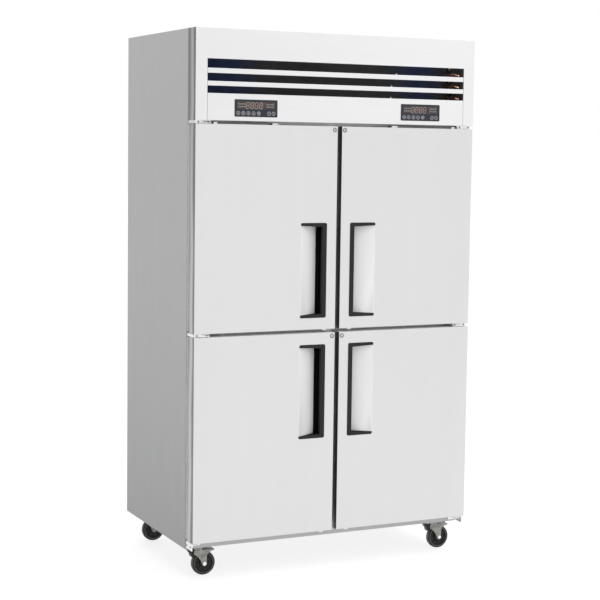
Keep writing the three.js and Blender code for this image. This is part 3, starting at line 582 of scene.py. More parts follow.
def add_header_panel():
    """Control plate and louvre bars on their folded ends, with a small clip over each bar."""
    low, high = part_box("header_panel")
    sheet = 1.5 * MM
    plate_top = 1727 * MM
    bars = mm([(1752.5, 1768.5), (1796, 1813)])  # (bottom, top)
    panel = Shape()
    panel.block(low, (high.x, low.y + sheet, plate_top), 0.5 * MM)
    panel.block(low, (high.x, high.y, low.z + sheet), 0.5 * MM)
    for bottom, top in bars:
        panel.block((low.x, low.y, bottom), (high.x, low.y + 8 * MM, top), 0.9 * MM, 3)
    clips = [(227 * MM, bars[1][1]), (208 * MM, bars[0][1]), (205 * MM, plate_top)]
    for x, foot in clips:
        panel.block((x - 1.5 * MM, low.y + MM, foot - MM),
                    (x + 1.5 * MM, low.y + 4 * MM, foot + 5 * MM), 0.4 * MM)
    # painted shade: the folded ends behind the louvres are near-black
    panel.paint = 1
    for x in (low.x, high.x - sheet):
        panel.block((x, low.y + sheet, low.z), (x + sheet, low.y + 25 * MM, high.z), 0.3 * MM)
    panel.piece("header_panel_skin", ["header", "shade"], CABINET, "brushed_steel",
                ["header_panel"])


def on_header_side(face):
    """True for the outer side of the header's end posts, in line with the doors' edges."""
    middle = face.calc_center_median()
    low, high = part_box("front_frame")
    header_depth = 71 * MM
    in_front = middle.y < low.y + header_depth
    return in_front and min(middle.x - low.x, high.x - middle.x) < 0.8 * MM


def inside_header(face):
    """True for the returns and walls behind the header's face, which are painted near-black as
    painted shade from the louvres.
    """
    middle = face.calc_center_median()
    low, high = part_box("front_frame")
    upright = abs(face.normal.x) > 0.5 or face.normal.y > 0.5
    return upright and middle.z > HEADER_FLOOR and low.x + MM < middle.x < high.x - MM


def add_back_panel():
    low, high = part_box("back_panel")
    stand_in("back_panel", "galvanised", CABINET, "galvanised_steel", 0.5 * MM, 20 * MM)
    inset = 12 * MM
    screws = Shape()
    columns = [low.x + inset, low.x / 2, 0, high.x / 2, high.x - inset]
    rows = [low.z + inset + (high.z - low.z - 2 * inset) * i / 5 for i in range(6)]
    for x in columns:
        for z in rows:
            if x in (columns[0], columns[-1]) or z in (rows[0], rows[-1]):
                screws.screw((x, high.y - 1.6 * MM, z), "Y")
    screws.piece("back_panel_screws", "bright", CABINET, "zinc_plated")
    grommet = Shape()
    grommet.turned(
        mm([(3.2, -3), (3.2, -0.6), (3.9, -0.1), (5.4, -0.1), (5.9, -0.6), (5.9, -3)]),
        (SUPPLY_HOLE["x"], high.y, SUPPLY_HOLE["z"]), "Y", 32, closed=True,
    )
    grommet.piece("supply_grommet", "plastic", CABINET, "black_plastic")


# ---------------------------------------------------------------- doors

def door_body(row, side):
    return f"{row}_{side}_door"


def add_door(row, side):
    label = f"{row}_{side}"
    body = door_body(row, side)
    low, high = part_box(f"door_{label}")
    leaf_back = low.y + 55 * MM

    def on_rim(face):
        middle = face.calc_center_median()
        outside = min(abs(middle.x - low.x), abs(middle.x - high.x)) < 1.6 * MM
        return outside and abs(face.normal.x) > 0.8 and middle.y < leaf_back

    handle_low, handle_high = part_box(f"handle_{label}")

    def on_end(face):
        behind_edge = low.y + 2 * MM < face.calc_center_median().y
        return behind_edge and abs(face.normal.z) > 0.8

    def in_scoop(face):
        middle = face.calc_center_median()
        beside = handle_low.x - MM < middle.x < handle_high.x + MM
        level = handle_low.z - MM < middle.z < handle_high.z + MM
        return beside and level and low.y + 0.1 * MM < middle.y < leaf_back - 10 * MM

    # painted reflections on the rims; painted light on the top and bottom ends, which sit in shaded
    # gaps
    stand_in(f"door_{label}", ["door", "edge", "scoop", "frame"], body, "brushed_steel",
             2.0 * MM, 30 * MM, 3, repaint=[(1, on_rim), (3, on_end), (2, in_scoop)])

    def in_pocket(face):
        return face.calc_center_median().y > handle_low.y + 12 * MM

    # painted shade: the inside of the handle's pocket is a near-black copy of its plastic
    stand_in(f"handle_{label}", ["plastic", "pocket"], body, "black_plastic", 1.0 * MM, 2 * MM, 3,
             repaint=[(1, in_pocket)])
    add_gasket(label, body)
    add_lock(label, f"{label}_lock")


def add_gasket(label, body):
    """Push-in seal with a bellows between its root and its magnet strip."""
    low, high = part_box(f"gasket_{label}")
    depth = high.y - low.y
    width = 16 * MM
    profile = [  # (inset from the outer edge, depth) as shares of the width and the depth
        (0.05, 0.0), (0.0, 0.08), (0.06, 0.18), (0.18, 0.26), (0.1, 0.36), (0.03, 0.46),
        (0.12, 0.56), (0.2, 0.64), (0.06, 0.72), (0.0, 0.8), (0.02, 0.94), (0.08, 1.0),
        (0.92, 1.0), (0.98, 0.94), (1.0, 0.8), (0.94, 0.72), (0.8, 0.64), (0.88, 0.56),
        (0.97, 0.46), (0.9, 0.36), (0.82, 0.26), (0.94, 0.18), (1.0, 0.08), (0.95, 0.0),
    ]
    shape = Shape()
    rings = []
    for inset, share in profile:
        step = inset * width
        corner = max(5 * MM - step, 1 * MM)
        outline = filleted([
            (low.x + step, 0, low.z + step), (high.x - step, 0, low.z + step),
            (high.x - step, 0, high.z - step), (low.x + step, 0, high.z - step),
        ], corner, 4, closed=True)
        y = low.y + share * depth
        rings.append([shape.bm.verts.new((point.x, y, point.z)) for point in outline])
    loft(shape.bm, rings, closed=True)
    shape.piece(f"gasket_{label}_seal", "rubber", body, "gasket_rubber", [f"gasket_{label}"])


def add_lock(label, body):
    """Cylinder with a bright plug and a keyway, and the cam on its back end."""
    low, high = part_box(f"lock_{label}")
    radius = 8 * MM
    toward_hinge = 1 if "right" in label else -1
    axis_x = low.x + radius if toward_hinge > 0 else high.x - radius
    axis_z = low.z + radius
    front = (axis_x, low.y, axis_z)
    shape = Shape()
    barrel_and_ring = [(0, 22), (8, 22), (8, 1.6), (7.5, 0.4), (6.7, 0), (5.2, 0.3), (4.8, 1.2),
                       (4.4, 1.2)]
    shape.turned(mm(barrel_and_ring), front, "Y", 40)
    shape.paint = 2
    plug = [(4.4, 1.2), (4.4, 0.5), (4, 0.2), (0, 0.2)]
    shape.turned(mm(plug), front, "Y", 32)
    cam_far = axis_x + toward_hinge * 20 * MM
    shape.block(
        (min(axis_x, cam_far), high.y - 3 * MM, axis_z - 4 * MM),
        (max(axis_x, cam_far), high.y, axis_z + 4 * MM), 0.8 * MM,
    )
    # painted shade: the keyway is a near-black block
    shape.paint = 1
    shape.block(
        (axis_x - MM, low.y, axis_z - 4.2 * MM),
        (axis_x + MM, low.y + 2 * MM, axis_z + 4.2 * MM), 0.2 * MM,
    )
    shape.piece(f"lock_{label}_cylinder", ["zinc", "pocket", "bright"], body, "zinc_plated",
                [f"lock_{label}"])


CLOSER_CLIPS = {"left": (-249 * MM, 12 * MM), "right": (229 * MM, 13 * MM)}  # middle, half width


def add_closer(side):
    """Torsion-bar closer lying along the top edge of an upper door."""
    sign = SIDES[side]
    clip, clip_half = CLOSER_CLIPS[side]
    low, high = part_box(f"door_upper_{side}")
    y = low.y + 20 * MM
    z = high.z + 3.6 * MM
    near = sign * (HINGE_X - 52 * MM)
    shape = Shape()
    shape.tube([(near, y, z), (clip, y, z)], 2.2 * MM, 12)
    shape.paint = 1
    for x, half in ((clip, clip_half), (near - sign * 8 * MM, 7 * MM)):
        shape.block((x - half, y - 9 * MM, high.z + 0.1 * MM), (x + half, y + 9 * MM, z + 3 * MM),
                    1 * MM)
        shape.screw((x, y, z + 3 * MM), "Z", 4 * MM, 1.6 * MM)
    # painted shade: a near-black block beside the clip, where the notch is in shade
    shape.paint = 2
    notch = clip - clip_half - 4 * MM
    shape.block((notch - 4 * MM, y - 10 * MM, high.z), (notch + 4 * MM, y + 8 * MM, z + 2 * MM))
    shape.piece(f"closer_{side}", ["zinc", "bright", "pocket"], door_body("upper", side),
                "zinc_plated")


def add_corner_bumper(row, side):
    """Nylon stop under the free lower corner of a door."""
    low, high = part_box(f"door_{row}_{side}")
    free_edge = low.x if side == "right" else high.x
    x = free_edge + SIDES[side] * 42 * MM
    shape = Shape()
    shape.block((x - 7 * MM, low.y + 2 * MM, low.z - 4.5 * MM),
                (x + 7 * MM, low.y + 18 * MM, low.z), 1.2 * MM, 3)
    shape.piece(f"bumper_{row}_{side}", "cover", door_body(row, side), "white_cover")


# ---------------------------------------------------------------- hinges

def add_hinges():
    for side in SIDES:
        for place in ("top", "middle", "bottom"):
            node = f"hinge_{side}_{place}"
            low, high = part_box(node)
            stand_in(node, "bright", CABINET, "zinc_plated", 0.8 * MM, 2 * MM, 3)
            screws = Shape()
            if place == "bottom":
                outer, axis = (high.x, "X") if side == "right" else (low.x, "-X")
                for y in (low.y + 16 * MM, high.y - 14 * MM):
                    screws.screw((outer, y, low.z + 12 * MM), axis, 3.4 * MM, 1.4 * MM)
            else:
                middle_z = high.z - 5 * MM if place == "top" else (low.z + high.z) / 2
                for x in (low.x + 13 * MM, high.x - 13 * MM):
                    screws.screw((x, low.y, middle_z), "-Y", 3.4 * MM, 1.4 * MM)
            screws.piece(f"{node}_screws", "zinc", CABINET, "zinc_plated")


# ---------------------------------------------------------------- controllers

SEGMENTS = {  # middle (u, v) and direction of each bar of a figure, in half heights
    "top": (0, 1, "u"), "middle": (0, 0, "u"), "bottom": (0, -1, "u"),
    "upper_left": (-1, 0.5, "v"), "upper_right": (1, 0.5, "v"),
    "lower_left": (-1, -0.5, "v"), "lower_right": (1, -0.5, "v"),
}


def figure_bars(x, z, half_width, half_height, thick):
    """Outlines (x, z) of the seven bars of one figure, which leans a little."""
    lean = 0.1
    corners = [(-1, 0), (-0.8, 1), (0.8, 1), (1, 0), (0.8, -1), (-0.8, -1)]
    bars = []
    for u, v, direction in SEGMENTS.values():
        if direction == "u":
            along, across = (half_width - 0.6 * thick, 0), (0, thick / 2)
        else:
            along, across = (0, half_height / 2 - 0.6 * thick), (thick / 2, 0)
        bar = []
        for a, b in corners:
            rise = v * half_height + a * along[1] + b * across[1]
            bar.append((x + u * half_width + a * along[0] + b * across[0] + lean * rise, z + rise))
        bars.append(bar)
    return bars


def add_controller(side):
    low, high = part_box(f"controller_{side}")
    width, height = high.x - low.x, high.z - low.z
    front = low.y

    def spot(u, v):
        """A place on the face: u from its left edge, v down from its top, as shares."""
        return low.x + u * width, high.z - v * height

    layer = 0.16 * MM
    film = front + 0.2 * MM
    bezel = Shape(f"controller_{side}")
    for vertex in bezel.bm.verts:
        vertex.co.y = max(vertex.co.y, film + layer / 2)
    bezel.soften(0.5 * MM, 2, 3 * MM)
    bezel.piece(f"controller_{side}_bezel", "bezel", CABINET, "display_gloss",
                [f"controller_{side}"])

    def sheet(shape, corner, far_corner, depth, edge=0.05 * MM):
        (x0, z1), (x1, z0) = spot(*corner), spot(*far_corner)
        shape.block((x0, film + depth, z0), (x1, film + depth + layer, z1), edge)

    face = Shape()
    sheet(face, (0.025, 0.06), (0.975, 0.94), 0.0)
    face.paint = 1
    sheet(face, (0.05, 0.12), (0.945, 0.56), -0.05 * MM)
    face.piece(f"display_face_{side}", ["glass", "window"], CABINET, "display_gloss")

    figures = Shape()
    for i in range(4):
        x, z = spot(0.3 + 0.1025 * i, 0.35)
        for bar in figure_bars(x, z, 5.2 * MM, 10.6 * MM, 1.3 * MM):
            figures.prism(bar, "Y", film - 0.1 * MM, film + layer, 0)
    figures.piece(f"display_figures_{side}", "digits", CABINET, "display_gloss")

    marks = Shape()
    marks.paint = 1
    for first in (0.075, 0.735):
        for column in range(4):
            for row in range(2):
                u, v = first + 0.046 * column, 0.22 + 0.15 * row
                sheet(marks, (u, v), (u + 0.036, v + 0.085), -0.1 * MM)
    marks.paint = 0
    for i, u in enumerate((0.08, 0.198, 0.318, 0.439, 0.559, 0.8, 0.906)):
        x, z = spot(u, 0.79)
        ring = 6.8 * MM
        marks.turned([
            (ring, 0), (ring, layer), (ring - 1.1 * MM, layer), (ring - 1.1 * MM, 0),
        ], (x, film - 0.08 * MM, z), "Y", 28, closed=True)
        add_key_mark(marks, i, x, z, film)
    marks.piece(f"display_marks_{side}", ["marks", "lamps"], CABINET, "display_gloss")


def add_key_mark(shape, kind, x, z, film):
    """A plain sign inside a key's ring: a few bars at equal angles, or an arrow head."""
    reach, half = 3.4 * MM, 0.45 * MM
    arrows = {0: 1, 1: -1}
    if kind in arrows:
        up = arrows[kind]
        outline = [(x - reach * 0.8, z - up * reach / 2), (x + reach * 0.8, z - up * reach / 2),
                   (x, z + up * reach * 0.8)]
        shape.prism(outline, "Y", film - 0.08 * MM, film + 0.1 * MM, 0)
        return
    bars = {2: 3, 3: 2, 4: 4, 5: 1, 6: 1}[kind]
    for i in range(bars):
        angle = math.pi * i / bars + (math.pi / 2 if kind == 6 else 0.4)
        along = (math.cos(angle) * reach, math.sin(angle) * reach)
        across = (-math.sin(angle) * half, math.cos(angle) * half)
        outline = [
            (x + a * along[0] + b * across[0], z + a * along[1] + b * across[1])
            for a, b in ((-1, -1), (1, -1), (1, 1), (-1, 1))
        ]
        shape.prism(outline, "Y", film - 0.08 * MM, film + 0.1 * MM, 0)


# ---------------------------------------------------------------- inside the columns

def add_shelf(side, level):
    """Round-wire shelf: a rim with two stays and wires from front to back over them."""
    node = f"shelf_{side}_{level}"
    low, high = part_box(node)
    rim, wire = 3 * MM, 1.5 * MM
    z = low.z + rim
    shape = Shape()
    corners = [(low.x + rim, low.y + rim, z), (high.x - rim, low.y + rim, z),
               (high.x - rim, high.y - rim, z), (low.x + rim, high.y - rim, z)]
    shape.tube(filleted(corners, 12 * MM, 5, closed=True), rim, 10, closed=True)
    for share in (0.3, 0.7):
        y = low.y + share * (high.y - low.y)
        shape.tube([(low.x + rim, y, low.z + 1.7 * MM), (high.x - rim, y, low.z + 1.7 * MM)],
                   1.7 * MM, 8)
    count = 19
    for i in range(1, count + 1):
        x = low.x + rim + i * (high.x - low.x - 2 * rim) / (count + 1)
        shape.tube([(x, low.y + rim, high.z - wire), (x, high.y - rim, high.z - wire)], wire, 8)
    shape.piece(f"{node}_wires", "chrome", CABINET, "chrome_wire", [node])


def add_evaporator(side):
    """Cooler cover with a wire fan guard, its screws and vent slots."""
    node = f"evaporator_{side}"
    low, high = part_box(node)
    stand_in(node, "cover", CABINET, "white_cover", 1.2 * MM, 6 * MM, 3)
    middle = Vector(((low.x + high.x) / 2, low.y, (low.z + high.z) / 2))
    guard = Shape()
    for radius in (24, 31, 38, 45):
        ring = [(middle.x + u, low.y + 1.4 * MM, middle.z + v)
                for u, v in circle((0, 0), radius * MM, 32)]
        guard.tube(ring, 1 * MM, 6, closed=True)
    for i in range(4):
        angle = math.pi / 4 + i * math.pi / 2
        ends = [(middle.x + r * math.cos(angle), low.y + 2.6 * MM, middle.z + r * math.sin(angle))
                for r in (18 * MM, 49 * MM)]
        guard.tube(ends, 1.2 * MM, 6)
    guard.piece(f"fan_guard_{side}", "chrome", CABINET, "chrome_wire")
    screws = Shape()
    for x in (low.x + 20 * MM, high.x - 20 * MM):
        for z in (low.z + 55 * MM, high.z - 14 * MM):
            screws.screw((x, low.y + 12 * MM, z), "-Y")
    screws.piece(f"evaporator_screws_{side}", "bright", CABINET, "zinc_plated")
    # painted shade: near-black strips stand for the shade inside the vent slots
    vents = Shape()
    for sign in (-1, 1):
        for i in range(7):
            x = middle.x + sign * (75 + 11 * i) * MM
            vents.block((x - 2 * MM, low.y + 11.6 * MM, middle.z - 26 * MM),
                        (x + 2 * MM, low.y + 12.2 * MM, middle.z + 30 * MM), 0.1 * MM)
    vents.piece(f"evaporator_vents_{side}", "pocket", CABINET, "black_plastic")


# ---------------------------------------------------------------- machine bay

def coil_box():
    """Front, back and ends of the condenser's fin block, inside the node's own box."""
    low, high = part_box("condenser")
    return {
        "left": low.x, "right": high.x - 23 * MM, "front": low.y, "back": low.y + 55 * MM,
        "bottom": low.z, "top": high.z,
    }


def add_condenser():
    coil = coil_box()
    shroud_back = coil["back"] + 26 * MM
    fins = Shape()
    pitch = 4.1 * MM
    count = int((coil["right"] - coil["left"] - 6 * MM) / pitch)
    for i in range(count):
        x = coil["left"] + 4 * MM + i * pitch
        fins.block((x, coil["front"] + MM, coil["bottom"] + MM),
                   (x + 0.6 * MM, coil["back"] - MM, coil["top"] - MM), 0)
    fins.piece("condenser_fins", "fins", CABINET, "aluminium_fins")

    casing = Shape()
    # painted shade: the coil's end plates are near-black
    casing.paint = 1
    for x in (coil["left"], coil["right"] - 1.5 * MM):
        casing.block((x, coil["front"], coil["bottom"]),
                     (x + 1.5 * MM, shroud_back, coil["top"]), 0.4 * MM)
    casing.paint = 0
    for z in (coil["bottom"], coil["top"] - 1.5 * MM):
        casing.block((coil["left"], coil["front"], z),
                     (coil["right"], shroud_back, z + 1.5 * MM), 0.4 * MM)
    add_shroud(casing, coil, shroud_back)
    casing.piece("condenser_casing", ["galvanised", "shade"], CABINET, "aluminium_fins",
                 ["condenser"])

    tubes = Shape()
    bends = 5
    bend_pitch = (coil["top"] - coil["bottom"]) / bends
    for i in range(bends):
        z = coil["bottom"] + (i + 0.5) * bend_pitch
        for y in (coil["front"] + 16 * MM, coil["front"] + 40 * MM):
            arc = [(coil["right"] - 2 * MM, y, z - 13 * MM)]
            arc += [(coil["right"] + 4 * MM + 13 * MM * math.cos(a), y, z + 13 * MM * math.sin(a))
                    for a in [math.pi * (k / 8 - 0.5) for k in range(9)]]
            arc.append((coil["right"] - 2 * MM, y, z + 13 * MM))
            tubes.tube(arc, 4.6 * MM, 12)
    for z in (1734, 1777, 1820):  # one return loop low in each louvre slot
        loop = mm([(482, 0, z + 5), (490, -338, z), (501, -342, z - 2), (502, -280, z + 8)])
        loop[0][1] = coil["front"] - MM
        tubes.tube(filleted(loop, 9 * MM), 3.4 * MM, 12)
    tubes.piece("condenser_bends", "copper", CABINET)
    # painted shade: the baffle behind the bends is a near-black sheet
    baffle = Shape()
    baffle.block((coil["right"] + MM, coil["back"] + 2 * MM, coil["bottom"] + MM),
                 (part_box("side_panel_right")[0].x - MM, coil["back"] + 3.5 * MM, coil["top"]),
                 0.4 * MM)
    baffle.piece("air_baffle", "shade", CABINET, "galvanised_steel")
    for side in SIDES:
        add_fan(side, coil, shroud_back)


def fan_middle(side):
    low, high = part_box(f"condenser_fan_{side}")
    return (low + high) / 2


def add_shroud(casing, coil, shroud_back):
    """Back plate of the air duct, with a lipped round mouth for each fan."""
    radius = 94 * MM
    z = fan_middle("left").z
    left, right = fan_middle("left").x, fan_middle("right").x
    walls = [coil["left"], left - radius, left + radius, right - radius, right + radius,
             coil["right"]]
    plate_front = shroud_back - 1.5 * MM
    for x0, x1 in ((walls[0], walls[1]), (walls[2], walls[3]), (walls[4], walls[5])):
        casing.block((x0, plate_front, coil["bottom"]), (x1, shroud_back, coil["top"]), 0.2 * MM)
    for x in (left, right):
        for upper in (False, True):
            edge_z = coil["top"] if upper else coil["bottom"]
            arc = circle((x, z), radius, 24, 0 if upper else math.pi, math.pi)
            corners = [(arc[-1][0], edge_z), (arc[0][0], edge_z)]
            casing.prism(arc + corners, "Y", plate_front, shroud_back, 0)
        casing.turned([
            (radius, 0), (radius - 2 * MM, 2 * MM), (radius - 2.4 * MM, 6 * MM),
            (radius - 3.6 * MM, 6 * MM), (radius - 3.4 * MM, 1 * MM), (radius - 1 * MM, -1.5 * MM),
        ], (x, shroud_back - MM, z), "Y", 48, closed=True)


def add_fan(side, coil, shroud_back):
    middle = fan_middle(side)
    low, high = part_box(f"condenser_fan_{side}")
    half = (high.y - low.y) / 2
    fan = Shape()
    fan.turned([
        (0, -half), (18 * MM, -half), (23 * MM, -half + 1.5 * MM), (26 * MM, -half + 5 * MM),
        (26 * MM, half), (23.5 * MM, half), (23.5 * MM, -half + 6 * MM), (5 * MM, -half + 6 * MM),
        (5 * MM, half - MM), (0, half - MM),
    ], middle, "Y", 40)
    for i in range(5):
        fan.take(fan_blade(2 * math.pi * i / 5, half), Matrix.Translation(middle))
    fan.piece(f"condenser_fan_{side}_wheel", "plastic", f"fan_{side}", "black_plastic",
              [f"condenser_fan_{side}"])

    motor = Shape()
    motor_front = high.y + 6 * MM
    motor_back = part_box("condenser")[1].y
    can = motor_back - motor_front
    radius = 36 * MM
    motor.turned([
        (0, 0), (radius - 6 * MM, 0), (radius - MM, 1.5 * MM), (radius, 4 * MM),
        (radius, 0.45 * can), (radius - 0.8 * MM, 0.47 * can), (radius - 0.8 * MM, 0.53 * can),
        (radius, 0.55 * can), (radius, can - 5 * MM), (radius - 3 * MM, can - MM),
        (radius - 12 * MM, can), (13 * MM, can), (12 * MM, can - 1.6 * MM), (0, can - 1.6 * MM),
    ], (middle.x, motor_front, middle.z), "Y", 40)
    motor.tube([(middle.x, middle.y - 4 * MM, middle.z), (middle.x, motor_front, middle.z)],
               4 * MM, 12)
    motor.piece(f"fan_motor_{side}", "enamel", CABINET, "black_enamel")
    strap = Shape()
    foot_low, foot_high = coil["bottom"] + 6 * MM, coil["top"] - 6 * MM
    edges = (middle.x - 11 * MM, middle.x + 11 * MM)
    strap.block((edges[0], motor_front, foot_low), (edges[1], motor_front + 3 * MM, foot_high), MM)
    for z in (foot_low, foot_high - 3 * MM):
        strap.block((edges[0], shroud_back, z), (edges[1], motor_front + 2 * MM, z + 3 * MM), MM)
        strap.screw((middle.x, motor_front + 3 * MM, z + 10 * MM if z == foot_low else z - 7 * MM),
                    "Y", 4 * MM, 2 * MM)
    strap.piece(f"motor_strap_{side}", "zinc", CABINET, "aluminium_fins")


def fan_blade(turn, half):
    """One curved blade about the Y axis, as a thin solid."""
    part = bmesh.new()
    rows = []
    radial_steps, chord_steps = 6, 6
    inner, outer = 24 * MM, 87 * MM
    for i in range(radial_steps + 1):
        s = i / radial_steps
        radius = inner + s * (outer - inner)
        half_chord = (15 + 17 * s - 6 * s ** 4) * MM
        row = []
        for k in range(chord_steps + 1):
            t = 2 * k / chord_steps - 1
            angle = turn + (t * half_chord + 10 * MM * s * s) / radius
            lift = -t * (half - 1.6 * MM) * (1 - 0.25 * s) + 2 * MM * (1 - t * t) * s
            row.append(part.verts.new((radius * math.cos(angle), lift, radius * math.sin(angle))))
        rows.append(row)
    for below, above in zip(rows, rows[1:]):
        for k in range(chord_steps):
            part.faces.new((below[k], below[k + 1], above[k + 1], above[k]))
    bmesh.ops.recalc_face_normals(part, faces=part.faces)
    bmesh.ops.solidify(part, geom=part.faces[:], thickness=1.4 * MM)
    return part


def add_compressor(side):
    """Welded can on rubber feet, with its terminal box and copper stubs."""
    node = f"compressor_{side}"
    low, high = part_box(node)
    sign = SIDES[side]
    middle = Vector((sign * COMPRESSOR_X, (low.y + high.y) / 2, low.z))
    top = high.z - low.z
    can = Shape()
    lower_shell = [(0, 9), (40, 8), (58, 12), (68, 20), (73, 32), (74, 40), (74, 84)]
    weld = [(75.5, 86), (78, 87), (78, 90), (75.5, 91)]
    upper_shell = [(74, 93), (74, 132), (72, 145), (65, 158), (52, 169)]
    crown = [(32 * MM, top - 2 * MM), (0, top)]
    can.turned(mm(lower_shell + weld + upper_shell) + crown, middle, "Z", 64)
    can.prism(rounded_outline(middle, 95 * MM, 65 * MM, 14 * MM), "Z", low.z + MM, low.z + 4.5 * MM)
    can.turned([(30 * MM, 4 * MM), (30 * MM, 12 * MM)], middle, "Z", 32)
    can.piece(f"{node}_can", "enamel", CABINET, "black_enamel", [node])

    feet = Shape()
    bolts = Shape()
    for u in (-80, 80):
        for v in (-50, 50):
            spot = middle + Vector((u * MM, v * MM, 0))
            feet.turned(mm([(0, 0), (10, 0), (11, 1), (11, 0.8), (0, 1)]), spot, "Z", 24)
            feet.turned(mm([(4, 4.4), (9, 4.4), (9.5, 6), (8, 8.5), (4, 9)]), spot, "Z", 24,
                        closed=True)
            bolts.turned(mm([(0, 12), (2.6, 12), (3, 11.4), (3, 2)]), spot, "Z", 16)
            bolts.turned(mm([(3, 9), (5.5, 9), (5.5, 10.6), (3, 10.6)]), spot, "Z", 6, closed=True)
    feet.piece(f"{node}_feet", "rubber", CABINET, "gasket_rubber")
    bolts.piece(f"{node}_bolts", "bright", CABINET, "zinc_plated")

    box = Shape()
    box_low, box_high = sorted((middle.x + sign * 66 * MM, middle.x + sign * 98 * MM))
    box.block((box_low, middle.y - 24 * MM, low.z + 60 * MM),
              (box_high, middle.y + 24 * MM, low.z + 118 * MM), 3 * MM, 3)
    face = middle.x + sign * 96.4 * MM
    for v in (-1, 1):
        box.screw((face, middle.y, low.z + (89 + v * 20) * MM), "X" if sign > 0 else "-X",
                  3 * MM, 1.5 * MM)
    box.piece(f"terminal_box_{side}", "plastic", CABINET, "black_enamel")
    add_pipes(side, middle, low.z)


def add_pipes(side, middle, deck):
    """Discharge and suction lines, bent copper, with the filter drier on the liquid line."""
    sign = SIDES[side]
    coil = coil_box()
    pipes = Shape()
    run = coil["back"] + 90 * MM
    start = middle + Vector((-sign * 60 * MM, -30 * MM, 60 * MM))
    bay_x = middle.x - sign * 118 * MM
    pipes.tube(filleted([
        start, (bay_x, start.y, start.z), (bay_x, run, start.z),
        (bay_x, run, deck + 24 * MM), (bay_x, coil["back"] + 34 * MM, deck + 24 * MM),
    ], 16 * MM), 3.2 * MM, 12)
    suction = middle + Vector((-sign * 56 * MM, 36 * MM, 50 * MM))
    down_x = middle.x - sign * 150 * MM
    pipes.tube(filleted([
        suction, (down_x, suction.y, suction.z), (down_x, suction.y + 70 * MM, suction.z),
        (down_x, suction.y + 70 * MM, deck),
    ], 18 * MM), 4.8 * MM, 12)
    dryer = Vector((down_x, middle.y - 60 * MM, deck + 24 * MM))
    pipes.tube(filleted([
        dryer + Vector((0, -95 * MM, 0)), dryer + Vector((0, 95 * MM, 0)),
        dryer + Vector((0, 95 * MM, -24 * MM)),
    ], 12 * MM), 2.4 * MM, 10)
    pipes.turned(mm([(2.4, -48), (6, -40), (12, -32), (12, 32), (6, 40), (2.4, 48)]),
                 dryer, "Y", 24)
    pipes.piece(f"copper_lines_{side}", "copper", CABINET)


def rounded_outline(middle, half_x, half_y, radius):
    """Rectangle (x, y) with round corners."""
    corners = [(-half_x, -half_y), (half_x, -half_y), (half_x, half_y), (-half_x, half_y)]
    path = filleted([(u, v, 0) for u, v in corners], radius, 5, closed=True)
    return [(middle.x + point.x, middle.y + point.y) for point in path]


# ---------------------------------------------------------------- casters

def add_caster(row, side):
    label = f"{row}_{side}"
    plate, fork, wheel = (f"caster_{kind}_{label}" for kind in ("plate", "fork", "wheel"))
    low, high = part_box(plate)
    stand_in(plate, "zinc", CABINET, "zinc_plated", 0.7 * MM, 3 * MM)
    swivel = (low + high) / 2
    bolts = Shape()
    for u in (-36, 36):
        for v in (-27, 27):
            spot = (swivel.x + u * MM, swivel.y + v * MM, high.z - 4 * MM)
            bolts.turned(mm([(0, 5.4), (5.6, 5.4), (6.4, 4.8), (6.4, 0.8), (8.4, 0.7), (8.4, 0)]),
                         spot, "-Z", 6)
    bolts.piece(f"caster_bolts_{label}", "zinc", CABINET, "zinc_plated")
    wheel_low, wheel_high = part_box(wheel)
    axle = (wheel_low + wheel_high) / 2

    # painted highlight: the axle bolt heads of the front forks get bright zinc
    def axle_bolt_highlight(face):
        return all(
            math.hypot(vertex.co.x - axle.x, vertex.co.z - axle.z) < 9 * MM
            for vertex in face.verts
        )

    stand_in(fork, ["zinc", "bright"], f"caster_{label}", "zinc_plated", 0.5 * MM, 2.2 * MM,
             repaint=[(1, axle_bolt_highlight)] if row == "front" else ())
    add_wheel(label, wheel)
    if row == "front":
        stand_in(f"brake_pedal_{label}", "plastic", f"brake_{label}", "black_plastic",
                 1.2 * MM, 4 * MM, 3)


def add_wheel(label, node):
    low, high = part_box(node)
    middle = (low + high) / 2
    body = f"wheel_{label}"
    tread = Shape()
    half_tread = [(44, 5), (43.4, 8.2), (41.5, 10), (38, 10.4), (34, 9.6)]
    other_half = [(radius, -height) for radius, height in reversed(half_tread)]
    tread.turned(mm(other_half + half_tread), middle, "Y", 96, closed=True)
    tread.repaint(1, lambda face: abs(face.normal.y) > 0.4)
    tread.piece(f"tread_{label}", ["tread", "hub"], body, "wheel_rubber")
    hub = Shape()
    for face in ("Y", "-Y"):
        rim_to_web = [(35.4, 8), (35, 10), (33, 10.2), (32, 7), (30, 5), (17, 5)]
        boss = [(15.5, 7), (14.6, 11), (12.4, 12.6), (8, 13), (7.6, 12), (4.5, 12)]
        hub.turned(mm(rim_to_web + boss), middle, face, 64)
        for i in range(8):
            angle = math.pi * i / 4
            rib = bmesh.new()
            bmesh.ops.create_cube(rib, size=1)
            bmesh.ops.scale(rib, vec=(17 * MM, 2.4 * MM, 3.4 * MM), verts=rib.verts)
            round_edges(rib, 0.6 * MM, 2)
            out = Matrix.Translation((24 * MM, 0, 6 * MM))
            turn = Matrix.Rotation(angle, 4, "Z")
            hub.take(rib, Matrix.Translation(middle) @ ALONG[face] @ turn @ out)
    # painted highlight: a lighter grey ring on each face of the hub, where the rim catches light
    hub.paint = 1
    for face in ("Y", "-Y"):
        hub.turned(mm([(37.6, 10.2), (37, 10.8), (36, 10.8), (35.4, 10.2)]), middle, face, 64,
                   closed=True)
    hub.piece(f"hub_{label}", ["hub", "tread"], body, "wheel_rubber", [node])


# ---------------------------------------------------------------- stage, light and camera

